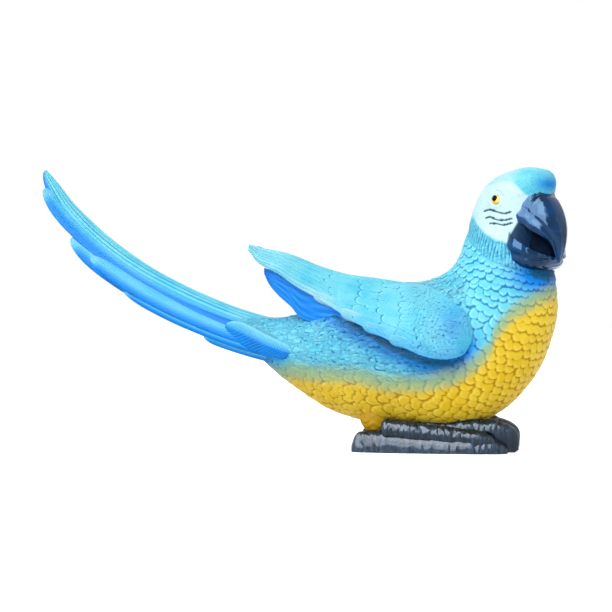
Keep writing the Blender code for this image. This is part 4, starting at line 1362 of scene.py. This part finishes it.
# Teal on the flank, where the painted shade under the wing lies.
deep_blue = down.blend(cut.blend(*DEEP_BLUE_AND_SHADE), cut.blend(*TEAL))
# Painted shade: darkest in the middle of the deepest spots.
deep_blue = sprayed_and_shaded.between(0.86, 1.04).blend(deep_blue, DARKEST_SHADE)
blue = (sprayed_and_shaded * 1.25).clipped().blend(light_blue, deep_blue)
print("nodes with the blues:", len(tree.nodes))

# %% [markdown]
# ## Yellow, white and the ink
# Yellow is sprayed from below, paler on raised edges as painted highlight and brown in the
# grooves as painted shade, and mixes to a dull green where it meets the blue. The cloud
# noise frays that border. The white face keeps a trace of cyan in its hair, and the wavy
# lines are inked in dark blue.

# %% The yellow, the face and the lines
YELLOW = paint(228, 190, 30), paint(240, 208, 56)
YELLOW_HIGHLIGHT, YELLOW_GROOVE_SHADE = paint(248, 226, 110), paint(176, 128, 8)
GREEN_BORDER, INK = paint(132, 172, 116), paint(12, 40, 72)
FACE = paint(204, 237, 244), paint(124, 190, 212)
# Raised edges are painted paler as painted highlight, and grooves brown as painted shade.
warm = (raised * 0.4).blend(cloud.between(0.3, 0.72).blend(*YELLOW), YELLOW_HIGHLIGHT)
warm = (cut * 0.85).blend(warm, YELLOW_GROOVE_SHADE)
border = yellow_share * (1 - yellow_share) * ((cloud - 0.5) * 1.6 + (relief - 0.5) * 1.2)
yellow_share = (yellow_share + border).clipped()
mixed = yellow_share * (1 - yellow_share) * 2.4
coloured = mixed.blend(yellow_share.blend(blue, warm), GREEN_BORDER)
face = (cut * 0.75 + speck.between(0.5, 0.75) * 0.2).clipped().blend(*FACE)
# The white mark also carries the wing's pale streak and ends, partly painted highlight.
coloured = mark(tree, "white_paint_and_highlight").blend(coloured, face)
coloured = mark(tree, "lines").blend(coloured, INK)
wire_up(shader, Base_Color=coloured, Roughness=0.40 + cut * 0.2 + speck * 0.08,
        Coat_Weight=(0.09 - cut * 0.08).clipped(),
        Normal=bump(speck * 0.5 + barbs * 0.4 - stroke * 1.6, 0.0004, 0.8))
print("nodes in the plumage:", len(tree.nodes))

# %% [markdown]
# ## Lacquer on the beak, and the mouth
# The beak is a very dark blue under a thick gloss. Its reflections are blurred a little
# by brush marks, which are a low bump. The mouth behind it is bare matt paint, and
# reflects almost nothing.

# %% The beak and mouth materials
tree, shader = new_material("black_beak_lacquer", (upper_beak, lower_beak),
                            Specular_IOR_Level=0.5, Specular_Tint=(0.34, 0.62, 1.0, 1.0))
film = noise(tree, 45.0)
wire_up(shader, Base_Color=film.between(0.35, 0.7).blend(paint(2, 34, 68), paint(4, 64, 122)),
        Roughness=0.05 + film * 0.08, Normal=bump(noise(tree, 150.0), 0.0006, 0.6))
tree, shader = new_material("dark_mouth", (mouth_piece,), Specular_IOR_Level=0.02, Roughness=0.8)
haze = noise(tree, 200.0)
wire_up(shader, Base_Color=haze.between(0.3, 0.7).blend(paint(3, 14, 32), paint(6, 26, 52)))
print("beak pieces painted:", len((upper_beak, lower_beak, mouth_piece)))

# %% [markdown]
# ## Worn gloss on the feet
# The feet are black with a gloss coat that lies unevenly over the wrinkles. Handling
# has worn it to slate on the high parts. One stretched noise drives the colour, the
# roughness, the coat and the bump together, so that all four agree on where it is worn.

# %% The foot material
tree, shader = new_material(
    "black_foot_gloss", foot_pieces, Coat_Roughness=0.12, Coat_IOR=1.45,
    Specular_IOR_Level=0.25, Specular_Tint=(0.5, 0.72, 1.0, 1.0))
wear = noise(tree, 130.0, 4.0, stretch=(3.6, 1, 0.8))
wire_up(shader, Base_Color=wear.between(0.4, 0.75).blend(paint(2, 14, 28), paint(24, 54, 80)),
        Roughness=0.25 + wear * 0.25, Coat_Weight=(0.2 + wear * 0.5).clipped(),
        Normal=bump(wear + noise(tree, 420.0) * 0.4, 0.0014, 1.0))
print("feet painted:", len(foot_pieces))

# %% [markdown]
# ## Paint on the eyes
# The eyes are two small dots of glossy enamel: an orange-yellow ring with faint darker
# flecks, and a black pupil.

# %% The iris and pupil materials
tree, shader = new_material("yellow_iris", (iris,), Coat_Roughness=0.05)
flecks = noise(tree, 500.0)
wire_up(shader, Base_Color=flecks.between(0.3, 0.7).blend(paint(240, 176, 24), paint(250, 208, 60)),
        Roughness=0.2 + flecks * 0.1)
tree, shader = new_material("black_pupil", (pupil,), Coat_Roughness=0.04, Specular_IOR_Level=0.03)
spot = noise(tree, 600.0)
wire_up(shader, Base_Color=spot.between(0.4, 0.8).blend(paint(4, 4, 8), paint(14, 14, 20)))
print("materials so far:", len(bpy.data.materials))

# %% [markdown]
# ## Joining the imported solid
# Every piece here stands for part of the one cast solid, so each rides on its body and
# replaces its node on screen. The solid itself stays for collisions.

# %% Pieces ride on the solid's body
pieces = [*body_pieces, *wing_pieces, *tail_pieces, upper_beak, lower_beak, mouth_piece,
          iris, pupil, *foot_pieces, tuft_piece]
for piece in pieces:
    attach(piece, "root")
    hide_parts("parrot_figurine")
print(len(pieces), "pieces ride on the cast body")

# %% [markdown]
# ## Studio
# The figurine stands on a white table in front of white paper. Both must look pure white
# without throwing more light on the bird, so they shine only for rays that come from the
# camera, off a gloss or through glass. The light itself is a weak even one.

# %% Floor and white room
AMBIENT = 0.34
BLACK, WHITE = (0, 0, 0, 1), (1, 1, 1, 1)


def seen_directly(tree):
    """1 for rays from the camera, off a gloss or through glass, and 0 for soft light."""
    rays = add_node(tree, "ShaderNodeLightPath").socket.node.outputs
    camera, glossy, glass = (
        Wire(tree, rays["Is %s Ray" % kind]) for kind in ("Camera", "Glossy", "Transmission"))
    return (camera + glossy + glass).clipped()


floor_mesh = bpy.data.meshes.new("floor")
corners = [(-4, -3, 0), (4, -3, 0), (4, 5, 0), (-4, 5, 0)]
floor_mesh.from_pydata(corners, [], [(0, 1, 2, 3)])
floor = bpy.data.objects.new("floor", floor_mesh)
bpy.context.scene.collection.objects.link(floor)
tree, shader = new_material(
    "white_paper", (floor,), Roughness=0.9, Base_Color=(0.86, 0.86, 0.86, 1),
    Emission_Strength=1.0)
place = add_node(tree, "ShaderNodeTexCoord", outlet=3)
away = place.node("ShaderNodeVectorMath", {"operation": "LENGTH"}, outlet=1, _0=place)
glow = seen_directly(tree) * (away.between(0.2, 0.5) * 0.4 + 0.6)
wire_up(shader, Emission_Color=glow.blend(BLACK, WHITE))
floor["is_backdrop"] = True

world = bpy.data.worlds.new("white_studio")
bpy.context.scene.world = world
world.use_nodes = True
background = world.node_tree.nodes["Background"]
background.inputs["Color"].default_value = WHITE
wire_up(background, Strength=seen_directly(world.node_tree) * (1 - AMBIENT) + AMBIENT)
print("floor, m:", [round(v, 1) for v in floor.dimensions])

# %% [markdown]
# ## Lamps
# Large soft lamps light the bird from above the camera and from the upper left, with
# weak ones on the right and behind. The large gloss panel lights nothing: it shows only
# in reflections, where it makes the pale patch on the beak.


# %% Soft lamps and the gloss panel
def soft_lamp(name, place, size, power, diffuse=True):
    """A square area lamp at a place in metres, turned towards the bird."""
    lamp = bpy.data.lights.new(name, "AREA")
    lamp.shape, lamp.size, lamp.energy = "SQUARE", size, power
    stand = bpy.data.objects.new(name, lamp)
    stand.location = place
    aim = Vector((0.0, 0.0, 0.08)) - Vector(place)
    stand.rotation_euler = aim.to_track_quat("-Z", "Y").to_euler()
    stand.visible_diffuse = diffuse
    bpy.context.scene.collection.objects.link(stand)


soft_lamp("lamp_above_camera", (0.1, -1.0, 1.0), 0.85, 10.5)
soft_lamp("lamp_above_left", (-0.75, -0.15, 0.9), 0.6, 4.5)
soft_lamp("gloss_panel", (-0.45, -0.8, 0.85), 1.8, 104.0, diffuse=False)
soft_lamp("lamp_right", (1.2, -0.3, 0.5), 0.6, 1.5)
soft_lamp("lamp_behind", (0.1, 0.9, 1.1), 0.8, 2.5)
print("lamps:", len(bpy.data.lights))

# %% [markdown]
# ## Camera
# The camera is level, on the bird's right side and 8 degrees towards its front. The lens
# follows from the width that the picture takes in at the bird's middle.

# %% Camera
AZIMUTH, DISTANCE, FRAME_WIDTH, SENSOR = math.radians(8.0), 1.0, 0.3607, 36.0
target = Vector((0.0036, 0.0, 0.0837))
camera = bpy.data.objects.new("camera", bpy.data.cameras.new("camera"))
camera.location = target + Vector((math.sin(AZIMUTH), -math.cos(AZIMUTH), 0)) * DISTANCE
camera.rotation_euler = (target - camera.location).to_track_quat("-Z", "Y").to_euler()
camera.data.sensor_width = SENSOR
camera.data.lens = SENSOR * DISTANCE / FRAME_WIDTH
camera.data.clip_end = 20.0
bpy.context.scene.collection.objects.link(camera)
bpy.context.scene.camera = camera
bpy.context.scene.view_settings.view_transform = "Standard"
print("lens, mm:", round(camera.data.lens, 1))

# %% [markdown]
# The imported solid's box and the box of all the shown pieces are both kept, and the
# second is printed. The carved pieces have to stay inside the imported solid's box.

# %% Keep the two boxes and print the visual one
boxes = {"cad": cad_box, "visual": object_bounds()}
boxes = {key: [list(map(float, corner)) for corner in box] for key, box in boxes.items()}
print("visual box, mm:", [[round(v / MM, 1) for v in corner] for corner in boxes["visual"]])
